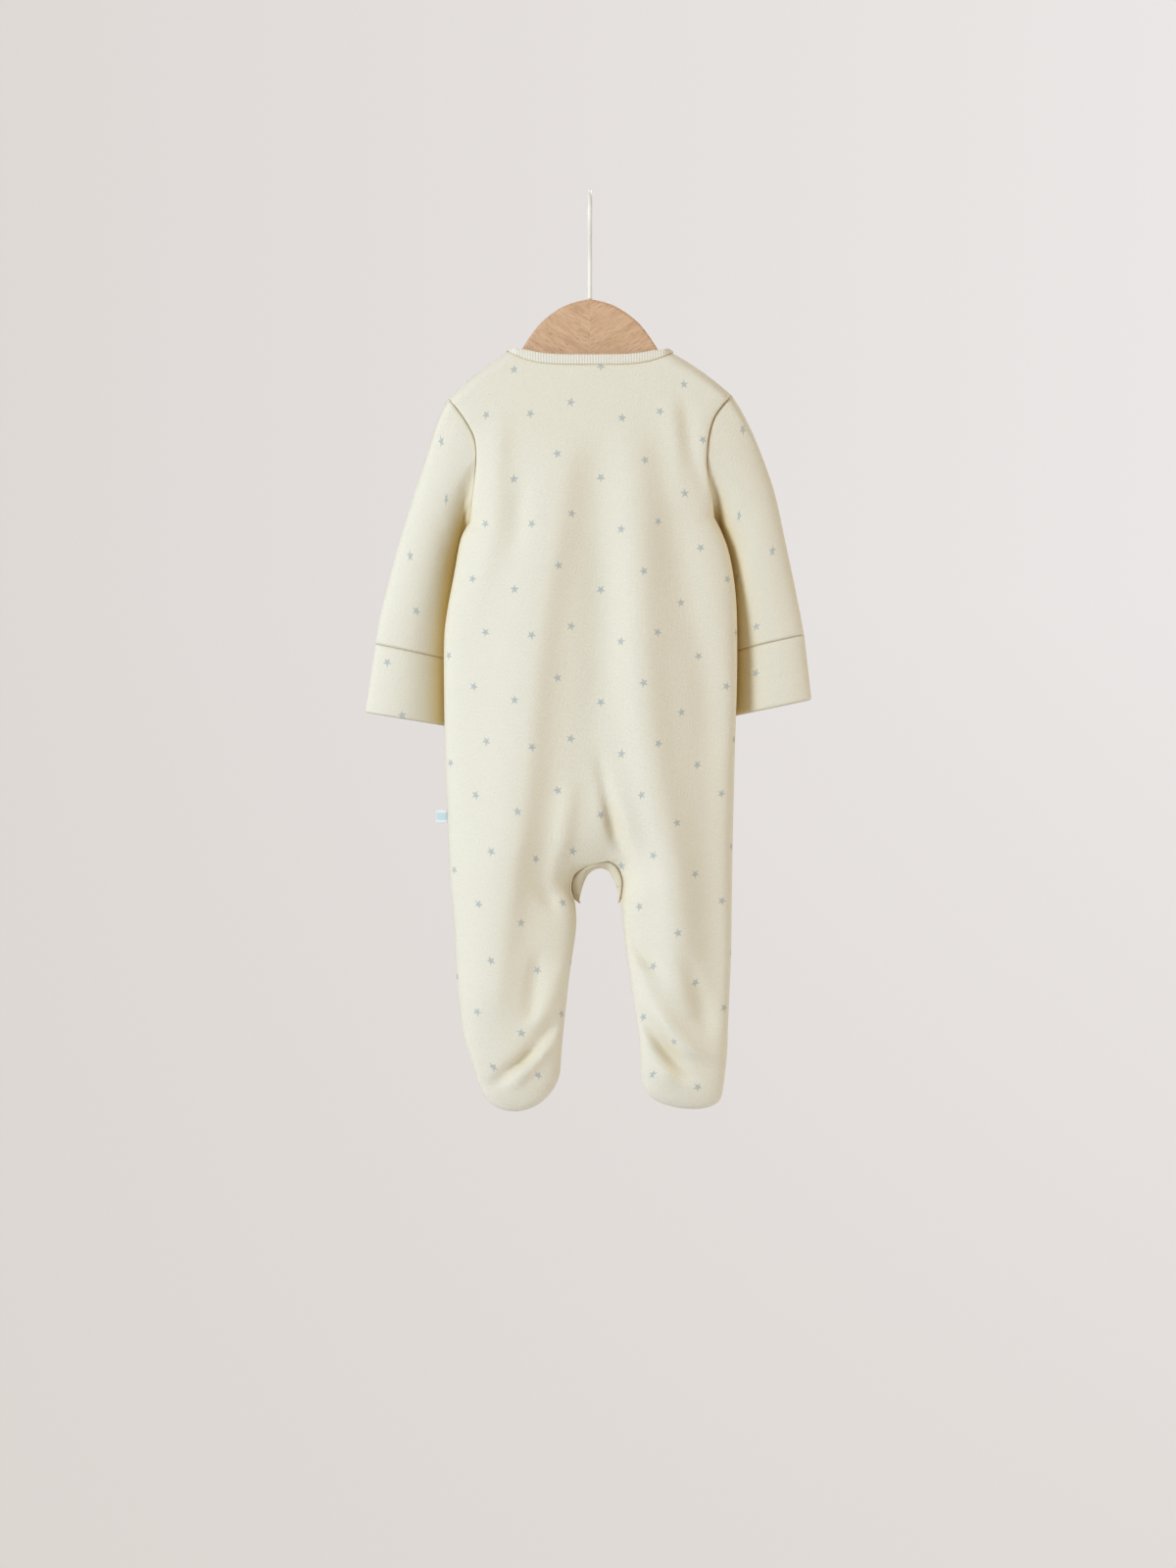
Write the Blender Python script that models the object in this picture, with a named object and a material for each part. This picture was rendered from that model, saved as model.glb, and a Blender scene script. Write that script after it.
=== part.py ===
"""Footed baby sleepsuit hanging, back to the front of the frame, on a small wooden hanger.

Lengths in the tables are millimetres. X runs across the garment, Z is up, and the garment's
back faces -Y. The origin is where the hook bears on what it hangs from.
"""

import math

import bmesh
import bpy
from mathutils import Vector

MM = 0.001

CLOTH = 1.6            # wall of one layer of jersey
CUFF_CLOTH = 2.2       # the cuffs are two layers
SEAM_GAP = 0.3         # between two pieces at a seam
LAY_GAP = 0.3          # between a piece and what lies on it

SHOULDER_ROUND = 10.0  # height in which the cloth turns over the hanger's arm
PANEL_POWER = 0.8      # below 1 the section is fuller than an ellipse
SEAT_DEPTH = 12.0      # half the gusset's width at its middle
SEAT_POWER = 2.0       # how softly the two legs part above the gusset

# Boundary lines as seen from behind: across, height.
ARMHOLE = {
    "left": [(-104.4, -149.8), (-95.8, -159.8), (-87.4, -172.8), (-83.7, -183), (-83.2, -197),
             (-85, -214), (-87.0, -228), (-88.6, -240.5)],
    "right": [(104.4, -147.3), (96.5, -156.2), (90, -166.3), (86.4, -180.7), (85.4, -197),
              (87.1, -210.5), (89.6, -223), (91.4, -237)],
}
SIDE_SEAM = {
    "left": [(-88.6, -240.5), (-95, -253), (-100, -280), (-105, -307), (-107.2, -331),
             (-106.8, -389), (-106.2, -425), (-104.4, -458), (-103, -501), (-100, -533),
             (-97.9, -577), (-95.8, -598), (-93.2, -616), (-87.8, -631), (-81.4, -648)],
    "right": [(91.4, -237), (96.5, -247), (102.2, -263), (106.4, -287), (108, -313),
              (108, -357), (106.6, -404), (105.2, -460), (104.4, -503), (103.7, -556),
              (101.5, -609), (100.8, -629), (99.4, -642), (97.4, -656)],
}
CENTRE_LINE = [(0, -125.6), (0, -200), (1, -300), (3, -400), (6, -460), (8, -490)]
FRONT_NECK_DROP = 34.0  # the front neck's lowest point below the neck points
CROTCH_CURVE = {
    "left": [(8, -490), (-0.7, -492.6), (-7.2, -496), (-11.9, -500), (-14, -505), (-14.2, -510),
             (-12.8, -515), (-10.8, -520)],
    "right": [(8, -490), (13, -489.4), (17, -490.8), (20, -493.2), (23, -498), (24.5, -503.5),
              (24.2, -510.5), (22.8, -520)],
}
INSEAM = {
    "left": [(-10.8, -520), (-9.8, -532), (-10.8, -545), (-14.8, -572), (-17.3, -595),
             (-20.2, -622), (-21.6, -640)],
    "right": [(22.8, -520), (24, -532), (25.4, -545), (28.8, -572), (32.4, -595), (36, -616),
              (37.1, -636), (38.2, -648)],
}
GAP_TOP = [(-9.3, -522.5), (-8.2, -519.8), (-6.5, -512), (-5, -507), (-2.9, -502), (-0.7, -498.6),
           (4, -495.4), (9, -494.8), (13.7, -497), (16.6, -501.8), (19.4, -507), (20.6, -512),
           (21.4, -517), (22.3, -522.5)]
FOOT_SAG = {"left": (29.0, 1.0), "right": (19.0, 0.7)}   # depth of the toe below the last row, power

# Half the garment's depth: height, depth.
DEPTH = [(-110, 13), (-150, 17), (-200, 21), (-240, 24), (-330, 27), (-430, 28), (-480, 26),
         (-520, 22), (-560, 20), (-600, 19), (-650, 18)]
# Half the depth of the armhole along its length: fraction from the shoulder, depth.
ARMHOLE_DEPTH = [(0, 10), (0.2, 12.5), (0.5, 13.5), (0.8, 9), (0.93, 4), (1, 0.3)]

NECK_COLUMN = 0.606     # the column that runs down from the neck point
COLUMNS = [0, 0.06, 0.13, 0.21, 0.3, 0.4, 0.5, NECK_COLUMN, 0.632, 0.69, 0.77, 0.85, 0.93, 1]
# Rows of a panel: stretch, outer line and its fractions, inner line and its fractions, rows.
STRETCHES = [
    ("yoke", "armhole", 0, 1, "centre", 0, 0.34, 8),
    ("body", "side", 0, 0.55, "centre", 0.34, 1, 9),
    ("seat", "side", 0.55, 0.7, "crotch", 0, 1, 6),
    ("leg", "side", 0.7, 0.87, "inseam", 0, 0.66, 4),
    ("foot", "side", 0.87, 1, "inseam", 0.66, 1, 5),
]
# Heights between which the columns leave the torso's spacing, and one tube becomes two.
LEG_COLUMNS = -390.0
LEG_START = -448.0
LEG_WHOLE = -492.0
CROTCH_FADE = -430.0

# Folds: face, three points (across, height), half width, rise (a trough is negative).
FOLDS = [
    ("back", (-61, -150), (-74, -250), (-90, -355), 13, 2.6),
    ("back", (-48, -190), (-52, -240), (-55, -285), 9, -2.2),
    ("back", (-28, -200), (-36, -255), (-46, -320), 9, 2.2),
    ("back", (-17, -225), (-38, -400), (-56, -590), 13, -5.2),
    ("back", (31, -180), (30, -330), (48, -590), 13, 3.6),
    ("back", (40, -255), (55, -430), (94, -632), 12, -5.2),
    ("back", (72, -155), (74, -190), (85, -222), 7, -3.0),
    ("back", (60, -165), (60, -190), (62, -220), 8, 2.4),
    ("back", (12, -375), (19, -440), (24, -490), 5, -2.4),
    ("back", (-16, -430), (-19, -475), (-24, -520), 8, 2.8),
    ("back", (-66, -500), (-66, -560), (-66, -630), 9, 2.0),
    ("front", (-58, -160), (-66, -300), (-72, -420), 13, 3.0),
    ("front", (-40, -190), (-44, -340), (-56, -560), 12, -4.4),
    ("front", (44, -180), (48, -330), (58, -580), 12, -4.4),
    ("front", (66, -170), (70, -300), (76, -430), 12, 3.0),
    ("front", (-18, -420), (-20, -460), (-26, -505), 8, 2.4),
    ("front", (30, -420), (32, -460), (34, -505), 8, 2.4),
]

# Sleeves: the outer and the inner edge from the armhole down to the cuff seam and the hem.
# across, height, depth towards the garment's front.
SLEEVE_OUTER = {
    "left": [(-104.4, -149.8, 0), (-111.5, -164, 0.5), (-121.7, -196.6, 1), (-139.7, -252.7, 3),
             (-153.4, -304.6, 5), (-158, -329.5, 6)],
    "right": [(104.4, -147.3, 0), (112.3, -160, 0.5), (123.1, -183, 1), (135.4, -217.4, 2),
              (144, -255.6, 3), (152.6, -295.9, 5), (157.7, -323, 6)],
}
SLEEVE_INNER = {
    "left": [(-88.6, -240.5, 0), (-93.5, -250, 9), (-96.5, -270, 16), (-98, -300, 20),
             (-99, -342, 22)],
    "right": [(91.4, -237, 0), (96, -247, 9), (98.2, -270, 16), (99, -300, 20), (99.5, -336, 22)],
}
CUFF_OUTER = {
    "left": [(-158, -330, 6), (-165.6, -380.2, 7)],
    "right": [(158.4, -323.5, 6), (163.3, -370.8, 7)],
}
CUFF_INNER = {
    "left": [(-99, -342.5, 22), (-99.5, -391, 23)],
    "right": [(99.5, -336.5, 22), (99.5, -384, 23)],
}
SLEEVE_ROUND = [(0, 12), (0.3, 13), (0.7, 12), (1, 10.5)]    # half depth of the sleeve's section
CUFF_ROUND = 10.5
SLEEVE_SIDES = 20
SLEEVE_ROWS = 11
CUFF_ROWS = 3

BINDING_HEIGHT = 7.4
BINDING_THICK = 1.8
BINDING_QUARTER = 15    # sections from a neck point to the middle
BINDING_STEEP = 1.4     # how far inwards it stands where the neck edge runs steeply
BINDING_TURN = 53.8     # past this distance from the middle it lies over, towards the neck

PLACKET_ACROSS = [-8.0, -4.0, 0.0, 4.0, 8.0]
PLACKET_CLOTH = 1.4
POPPER_RADIUS = 4.6
POPPER_HEIGHT = 1.3
POPPERS = 6

HANGER_HALF_DEPTH = 5.5
HANGER_TOP = [(0, -76.3), (13, -79.4), (25, -85.4), (36, -94.3), (44.5, -105), (51, -115.2),
              (56, -121.5), (63, -126), (72, -130.6), (81, -135.8), (88, -141.6), (93, -147.5)]
HANGER_BELOW = [(95, -155), (91, -160), (80, -155), (60, -145), (35, -135), (12, -129), (0, -128)]
JOINT_GAP = 0.15        # each half stops this far from the glued middle

WIRE_RADIUS = 1.65
HOOK_RADIUS = 18.7      # to the middle of the wire
HOOK_TIP_ANGLE = 218.0
HOOK_LEAVE_ANGLE = -48.0
STEM_DEPTH = 12.0       # how far the wire goes into the wood
BORE_CLEAR = 0.3

TAG = {"height": -456.5, "drop": 9.4, "reach": 8.0, "thick": 1.2}

COLOURS = {
    "jersey": (0.83, 0.80, 0.68), "rib": (0.85, 0.83, 0.72), "popper": (0.86, 0.86, 0.82),
    "tag": (0.93, 0.95, 0.95), "beech": (0.57, 0.37, 0.22), "painted_wire": (0.86, 0.88, 0.86),
}
FINISH = {"jersey": 0.9, "rib": 0.9, "popper": 0.35, "tag": 0.7, "beech": 0.5, "painted_wire": 0.3}


def ease(f):
    f = min(1.0, max(0.0, f))
    return f * f * (3 - 2 * f)


def along(points, f):
    """Point at a fraction of the length of a smooth line through the points."""
    pts = [Vector(p) for p in points]
    lengths = [0.0]
    for a, b in zip(pts, pts[1:]):
        lengths.append(lengths[-1] + (b - a).length)
    want = f * lengths[-1]
    k = max(i for i in range(len(pts) - 1) if lengths[i] <= want + 1e-9)
    t = (want - lengths[k]) / (lengths[k + 1] - lengths[k])
    before = pts[k - 1] if k else pts[0] * 2 - pts[1]
    after = pts[k + 2] if k + 2 < len(pts) else pts[-1] * 2 - pts[-2]
    p, q = pts[k], pts[k + 1]
    return 0.5 * (2 * p + (q - before) * t + (2 * before - 5 * p + 4 * q - after) * t ** 2
                  + (3 * p - before - 3 * q + after) * t ** 3)


def read(table, key):
    """Value of a two-column table at a key, in straight steps."""
    rows = sorted(table)
    if key <= rows[0][0]:
        return rows[0][1]
    for (k0, v0), (k1, v1) in zip(rows, rows[1:]):
        if key <= k1:
            return v0 + (v1 - v0) * (key - k0) / (k1 - k0)
    return rows[-1][1]


def neck_point(side):
    return Vector((-60.5, -114.9)) if side == "left" else Vector((60.5, -116.0))


def shoulder_height(side, x):
    """Height of the shoulder line, which runs on inside the neck."""
    start, end = neck_point(side), Vector(ARMHOLE[side][0])
    f = (x - start.x) / (end.x - start.x)
    bow = 2.0 * max(0.0, 4 * f * (1 - f)) if f > 0 else 0.0
    return start.y + (end.y - start.y) * f + bow


def neck_height(face, side, x):
    """Height of a panel's neck edge."""
    start = neck_point(side)
    f = min(1.0, abs(x / start.x))
    if face == "back":
        low = CENTRE_LINE[0][1]
        return low + (start.y - low) * f ** 4
    return start.y - FRONT_NECK_DROP * math.sqrt(max(0.0, 1 - f ** 2.4))


def top_height(face, side, x):
    inside = abs(x) < abs(neck_point(side).x)
    return neck_height(face, side, x) if inside else shoulder_height(side, x)


def over_shoulder(side, x, z):
    """Share of the full depth just below the shoulder line."""
    below = max(0.0, shoulder_height(side, x) - z) / SHOULDER_ROUND
    return math.sqrt(1 - (1 - min(1.0, below)) ** 2)


def armhole_point(side, f):
    x, z = along(ARMHOLE[side], f)
    return Vector((x, read(ARMHOLE_DEPTH, f) * over_shoulder(side, x, z), z))


def fold_rise(face, x, z):
    total = 0.0
    for where, top, middle, bottom, width, rise in FOLDS:
        if where != face or not bottom[1] < z < top[1]:
            continue
        f = (top[1] - z) / (top[1] - bottom[1])
        m = (top[1] - middle[1]) / (top[1] - bottom[1])
        bend = middle[0] - (top[0] + (bottom[0] - top[0]) * m)
        line = top[0] + (bottom[0] - top[0]) * f + bend * f * (1 - f) / (m * (1 - m))
        total += rise * math.exp(-((x - line) / width) ** 2) * math.sin(math.pi * f) ** 0.7
    return total


def outer_inner(face, side, stretch, v):
    """Ends of a panel's row: at the armhole or side seam, and at the middle or inseam."""
    _, outer, o0, o1, inner, i0, i1, _ = stretch
    line = {"armhole": ARMHOLE[side], "side": SIDE_SEAM[side]}[outer]
    start = along(line, o0 + (o1 - o0) * v)
    middle = {"centre": CENTRE_LINE, "crotch": CROTCH_CURVE[side], "inseam": INSEAM[side]}[inner]
    end = along(middle, i0 + (i1 - i0) * v)
    if face == "front" and stretch[0] == "yoke":
        top = neck_height("front", side, 0)
        low = along(CENTRE_LINE, i1).y
        end = Vector((end.x, top + (low - top) * v))
    return start, end


def panel_point(face, side, stretch, v, q):
    """A point of the outer face of a panel. q runs from the side to the middle."""
    name = stretch[0]
    start, end = outer_inner(face, side, stretch, v)
    height = start.y + (end.y - start.y) * ease(q)
    level = (start.y + end.y) / 2
    if name in ("yoke", "body"):
        spacing = ease((LEG_COLUMNS - level) / (LEG_COLUMNS - LEG_WHOLE))
        split = ease((LEG_START - level) / (LEG_START - LEG_WHOLE))
    else:
        spacing = split = 1.0
    torso_x = end.x + (start.x - end.x) * math.cos(math.pi * q / 2)
    leg_x = (start.x + end.x) / 2 + (start.x - end.x) / 2 * math.cos(math.pi * q)
    x = torso_x * (1 - spacing) + leg_x * spacing
    if name == "yoke":
        first_start, first_end = outer_inner(face, side, stretch, 0)
        first_x = first_end.x + (first_start.x - first_end.x) * math.cos(math.pi * q / 2)
        first = first_start.y + (first_end.y - first_start.y) * ease(q)
        height += (top_height(face, side, first_x) - first) * (1 - v) ** 1.3
    closing = 1.0
    if name == "foot":
        sag, power = FOOT_SAG[side]
        height -= sag * v ** 1.4 * math.sin(math.pi * q) ** power
        closing = math.sqrt(max(0.0, 1 - v ** 2.6))
    full = read(DEPTH, height)
    edge = armhole_point(side, v).y if name == "yoke" else 0.0
    torso = edge + (full - edge) * math.sin(math.pi * q / 2) ** PANEL_POWER
    if name == "yoke":
        torso = torso * over_shoulder(side, x, height) if q > 0 else edge
    if name == "seat":
        crotch = SEAT_DEPTH * max(0.0, math.cos(math.pi * v / 2)) ** 0.8
    else:
        crotch = SEAT_DEPTH if name in ("yoke", "body") else 0.0
    if q > 0.5:
        inner_power = PANEL_POWER + (SEAT_POWER - PANEL_POWER) * crotch / SEAT_DEPTH
        leg = crotch + (full - crotch) * max(0.0, math.sin(math.pi * q)) ** inner_power
    else:
        leg = full * math.sin(math.pi * q) ** PANEL_POWER
    depth = torso * (1 - split) + leg * split * closing
    # folds fade at the side, at the crotch seam and, lower down, along the inseam
    parted = {"seat": ease(v), "leg": 1.0, "foot": 1.0}.get(name, 0.0)
    crotch_fade = 1.0 if name == "seat" else ease((CROTCH_FADE - level) / 60)
    held = math.sin(math.pi * min(q, 0.5))
    held *= (1 - crotch_fade * q ** 4) * (1 - parted) + math.sin(math.pi * max(q, 0.5)) * parted
    if name == "yoke":
        held *= ease(v * 3)
    depth += fold_rise(face, x, height) * held * closing
    return Vector((x, -depth if face == "back" else depth, height))


def lay_rows(bm, rows, closed=False):
    """Add the faces between rows of points, each row joined end to end if closed."""
    verts = [[bm.verts.new(p * MM) for p in row] for row in rows]
    for upper, lower in zip(verts, verts[1:]):
        count = len(upper)
        for k in range(count if closed else count - 1):
            n = (k + 1) % count
            bm.faces.new((upper[k], lower[k], lower[n], upper[n]))
    return bm


def thicken(bm, wall, flatten):
    """Give a sheet its wall, inwards. flatten(point, normal) trues the rim at a seam."""
    bm.normal_update()
    rim = [e for e in bm.edges if e.is_boundary]
    on_rim = {v for e in rim for v in e.verts}
    outer = list(bm.verts)
    faces = list(bm.faces)
    inner = {}
    for v in outer:
        normal = v.normal.copy()
        if v in on_rim:
            normal = flatten(v.co / MM, normal).normalized()
        inner[v] = bm.verts.new(v.co - normal * wall * MM)
    rim_ends = [(e.link_loops[0].vert, e.link_loops[0].link_loop_next.vert) for e in rim]
    for f in faces:
        bm.faces.new([inner[v] for v in reversed(f.verts)])
    for a, b in rim_ends:
        bm.faces.new((b, a, inner[a], inner[b]))
    return bm


def material(kind):
    found = bpy.data.materials.get(kind)
    if found:
        return found
    made = bpy.data.materials.new(kind)
    made.use_nodes = True
    shader = made.node_tree.nodes["Principled BSDF"]
    shader.inputs["Base Color"].default_value = (*COLOURS[kind], 1)
    shader.inputs["Roughness"].default_value = FINISH[kind]
    return made


def add(name, bm, kind, smooth=True):
    mesh = bpy.data.meshes.new(name)
    bm.to_mesh(mesh)
    bm.free()
    mesh.materials.append(material(kind))
    if smooth:
        mesh.shade_smooth()
    piece = bpy.data.objects.new(name, mesh)
    bpy.context.collection.objects.link(piece)
    return piece


def flat_rim(point, normal):
    """Seams that lie in the middle plane keep their rim in it."""
    return Vector((normal.x, 0, normal.z)) if abs(point.y) < SEAM_GAP else normal


def flat_front_rim(point, normal):
    """The same, and where the two fronts meet the rim is square to them."""
    top, bottom = CENTRE_LINE[0][1], CENTRE_LINE[-1][1]
    middle = along(CENTRE_LINE, min(1, max(0, (top - point.z) / (top - bottom))))
    if point.z > bottom + 1 and abs(point.x - middle.x) < 2:
        return Vector((0, normal.y, normal.z))
    return flat_rim(point, normal)


def as_is(point, normal):
    return normal


def half_rows(face, side, names, trim_middle=0.0):
    """Rows of one half of a face, each from the side to the middle, parted at its seams."""
    rows = []
    shift = SEAM_GAP / 2 * (-1 if face == "back" else 1)
    for stretch in [s for s in STRETCHES if s[0] in names]:
        count = stretch[7]
        for k in range(count + 1):
            if k == 0 and rows:
                continue
            v = k / count
            if stretch[0] == "yoke":
                v = v ** 1.5
            if stretch[0] == "foot":
                v = 1 - (1 - v) ** 1.5
            row = [panel_point(face, side, stretch, v, q) for q in COLUMNS]
            for p in row:
                p.y += shift
            if trim_middle and stretch[0] in ("yoke", "body"):
                row[-1].x += -trim_middle if side == "left" else trim_middle
            rows.append(row)
    return rows


def turned(rows, face, side):
    """Column order that makes the faces look outwards."""
    return rows if (face == "back") == (side == "left") else [list(reversed(r)) for r in rows]


def make_back():
    bm = bmesh.new()
    for side in ("left", "right"):
        names = [s[0] for s in STRETCHES]
        lay_rows(bm, turned(half_rows("back", side, names), "back", side))
    bmesh.ops.remove_doubles(bm, verts=bm.verts, dist=0.02 * MM)
    add("back", thicken(bm, CLOTH, flat_rim), "jersey")


def make_fronts():
    for side in ("left", "right"):
        rows = half_rows("front", side, ["yoke", "body", "seat", "leg"], SEAM_GAP / 2)
        bm = lay_rows(bmesh.new(), turned(rows, "front", side))
        add(f"front_{side}", thicken(bm, CLOTH, flat_front_rim), "jersey")


def make_feet():
    for side in ("left", "right"):
        rows = half_rows("front", side, ["foot"])
        for p in rows[0]:
            p.z -= SEAM_GAP
        bm = lay_rows(bmesh.new(), turned(rows, "front", side))
        add(f"foot_{side}", thicken(bm, CLOTH, flat_rim), "jersey")


def make_gusset():
    arc = list(reversed(CROTCH_CURVE["left"])) + CROTCH_CURVE["right"][1:]
    rows = []
    count, across = 16, 6
    for k in range(count + 1):
        g = 0.04 + 0.92 * k / count
        edge = along(arc, g)
        gap = along(GAP_TOP, g)
        part = abs(2 * g - 1)
        depth = SEAT_DEPTH * max(0.0, math.cos(math.pi * part / 2)) ** 0.8 - SEAM_GAP
        inwards = (gap - edge).normalized() * (SEAM_GAP + 0.15)
        back = Vector((edge.x + inwards.x, -depth, edge.y + inwards.y))
        front = Vector((back.x, depth, back.z))
        middle = Vector((gap.x, 0, gap.y))
        control = 2 * middle - (back + front) / 2
        row = []
        for j in range(across + 1):
            t = j / across
            row.append(back * (1 - t) ** 2 + control * 2 * t * (1 - t) + front * t ** 2)
        rows.append(row)
    add("gusset", thicken(lay_rows(bmesh.new(), rows), CLOTH, as_is), "jersey")


def section(outer, inner, round_depth, face, f):
    """A point of a sleeve's flattened section: f runs from its outer to its inner edge."""
    share = (1 - math.cos(math.pi * f)) / 2
    p = outer + (inner - outer) * share
    depth = round_depth * math.sin(math.pi * f) ** PANEL_POWER
    y = outer.z + (inner.z - outer.z) * share ** 1.5
    return Vector((p.x, y + (-depth if face == "back" else depth), p.y))


def ring(point_at):
    half = SLEEVE_SIDES // 2
    back = [point_at("back", k / half) for k in range(half + 1)]
    front = [point_at("front", k / half) for k in range(half - 1, 0, -1)]
    return back + front


def sleeve_ring(side, s):
    outer, inner = along(SLEEVE_OUTER[side], s), along(SLEEVE_INNER[side], s)
    first_outer, first_inner = (Vector(line[side][0]) for line in (SLEEVE_OUTER, SLEEVE_INNER))

    def point_at(face, f):
        here = section(outer, inner, read(SLEEVE_ROUND, s), face, f)
        first = section(first_outer, first_inner, read(SLEEVE_ROUND, 0), face, f)
        seam = armhole_point(side, f)
        if face == "back":
            seam.y = -seam.y
        run = along(ARMHOLE[side], min(1, f + 0.02)) - along(ARMHOLE[side], max(0, f - 0.02))
        away = Vector((run.y, 0, -run.x)).normalized() * (1 if side == "left" else -1)
        seam += away * SEAM_GAP * 2.3
        return here + (seam - first) * (1 - ease(s / 0.4))

    return ring(point_at)


def cuff_ring(side, s):
    outer, inner = along(CUFF_OUTER[side], s), along(CUFF_INNER[side], s)
    return ring(lambda face, f: section(outer, inner, CUFF_ROUND, face, f))


def make_tube(name, rings, wall, side):
    rows = rings if side == "left" else [list(reversed(r)) for r in rings]
    add(name, thicken(lay_rows(bmesh.new(), rows, closed=True), wall, as_is), "jersey")


def make_sleeves():
    for side in ("left", "right"):
        rings = [sleeve_ring(side, (k / SLEEVE_ROWS) ** 1.2) for k in range(SLEEVE_ROWS + 1)]
        make_tube(f"sleeve_{side}", rings, CLOTH, side)
        cuff = [cuff_ring(side, k / CUFF_ROWS) for k in range(CUFF_ROWS + 1)]
        make_tube(f"cuff_{side}", cuff, CUFF_CLOTH, side)


def neck_edge(face, side, q):
    """Point of a panel's neck edge, on the straight line between two of its columns."""
    k = max(i for i in range(len(COLUMNS) - 1) if COLUMNS[i] <= q)
    a, b = (panel_point(face, side, STRETCHES[0], 0, c) for c in COLUMNS[k:k + 2])
    return a + (b - a) * (q - COLUMNS[k]) / (COLUMNS[k + 1] - COLUMNS[k])


def neck_loop(k):
    """Point of the neck edge and the way up along the binding, at one section of the loop."""
    quarter, step = divmod(k, BINDING_QUARTER)
    t = step / BINDING_QUARTER
    face, side = [("back", "left"), ("back", "right"), ("front", "right"), ("front", "left")][quarter]
    t = 1 - t if quarter in (1, 3) else t
    q = NECK_COLUMN + (1 - NECK_COLUMN) * (1 - math.cos(math.pi * t / 2))
    here = neck_edge(face, side, q)
    over = min(0.95 * BINDING_HEIGHT, max(0.0, abs(here.x) - BINDING_TURN))
    rise = math.sqrt(BINDING_HEIGHT ** 2 - over ** 2)
    return here, Vector((over if side == "left" else -over, 0, rise)).normalized()


def make_binding():
    count = 4 * BINDING_QUARTER
    rows = []
    for k in range(count):
        here, up = neck_loop(k)
        tangent = (neck_loop((k + 1) % count)[0] - neck_loop(k - 1 if k else count - 1)[0]).normalized()
        out = up.cross(tangent).normalized()
        square = (up - tangent * up.dot(tangent)).normalized()
        inwards = Vector((-math.copysign(1, here.x), 0, 0))
        low = here + square * (SEAM_GAP + 0.1) + inwards * BINDING_STEEP * abs(tangent.z)
        high = low + up * BINDING_HEIGHT
        rows.append([low, high, high - out * BINDING_THICK, low - out * BINDING_THICK])
    rows.append(rows[0])
    bm = lay_rows(bmesh.new(), rows, closed=True)
    bmesh.ops.remove_doubles(bm, verts=bm.verts, dist=0.001 * MM)
    bmesh.ops.recalc_face_normals(bm, faces=bm.faces)
    add("neck_binding", bm, "rib")


def front_point(f, across):
    """Point of the fronts at a share of the centre line's length, a distance to one side."""
    stretch = STRETCHES[0] if f < 0.34 else STRETCHES[1]
    v = f / 0.34 if f < 0.34 else (f - 0.34) / 0.66
    side = "left" if across < 0 else "right"
    middle = panel_point("front", side, stretch, v, 1)
    low, high = 0.4, 1.0
    for _ in range(24):
        q = (low + high) / 2
        if abs(panel_point("front", side, stretch, v, q).x - middle.x) > abs(across):
            low = q
        else:
            high = q
    return panel_point("front", side, stretch, v, high)


def front_out(f, across):
    """Way out of the cloth at a point of the fronts."""
    step = 0.01
    down = front_point(min(1, f + step), across) - front_point(max(0, f - step), across)
    over = front_point(f, across + 2) - front_point(f, across - 2)
    out = over.cross(down).normalized()
    return out if out.y > 0 else -out


def make_placket():
    rows = []
    count = 34
    lift = SEAM_GAP / 2 + LAY_GAP + 0.1
    for k in range(count + 1):
        f = 0.012 + 0.913 * k / count
        places = [(front_point(f, a), front_out(f, a)) for a in PLACKET_ACROSS]
        under = [p + out * lift for p, out in places]
        over = [p + out * (lift + PLACKET_CLOTH) for p, out in places]
        rows.append(under + list(reversed(over)))
    bm = lay_rows(bmesh.new(), rows, closed=True)
    bm.verts.ensure_lookup_table()
    wide = len(PLACKET_ACROSS)
    for first in (0, len(bm.verts) - 2 * wide):
        ring_verts = [bm.verts[first + k] for k in range(2 * wide)]
        for k in range(wide - 1):
            bm.faces.new((ring_verts[k], ring_verts[k + 1], ring_verts[-2 - k], ring_verts[-1 - k]))
    bmesh.ops.recalc_face_normals(bm, faces=bm.faces)
    add("placket", bm, "jersey")
    for n in range(POPPERS):
        f = 0.05 + 0.8 * n / (POPPERS - 1)
        here, out = front_point(f, 0), front_out(f, 0)
        base = here + out * (lift + PLACKET_CLOTH + LAY_GAP)
        bm = bmesh.new()
        bmesh.ops.create_cone(bm, cap_ends=True, segments=20, radius1=POPPER_RADIUS * MM,
                              radius2=POPPER_RADIUS * 0.86 * MM, depth=POPPER_HEIGHT * MM)
        popper = add(f"popper_{n + 1}", bm, "popper")
        popper.location = (base + out * POPPER_HEIGHT / 2) * MM
        popper.rotation_euler = out.to_track_quat("Z", "Y").to_euler()


def make_tag():
    bm = bmesh.new()
    bmesh.ops.create_cube(bm, size=1)
    x = along(SIDE_SEAM["left"], 0.54).x
    size = Vector((TAG["reach"], TAG["thick"], TAG["drop"]))
    bmesh.ops.scale(bm, vec=size * MM, verts=bm.verts)
    tag = add("side_tag", bm, "tag", smooth=False)
    tag.location = Vector((x - 2 * SEAM_GAP - TAG["reach"] / 2, 0, TAG["height"])) * MM


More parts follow.
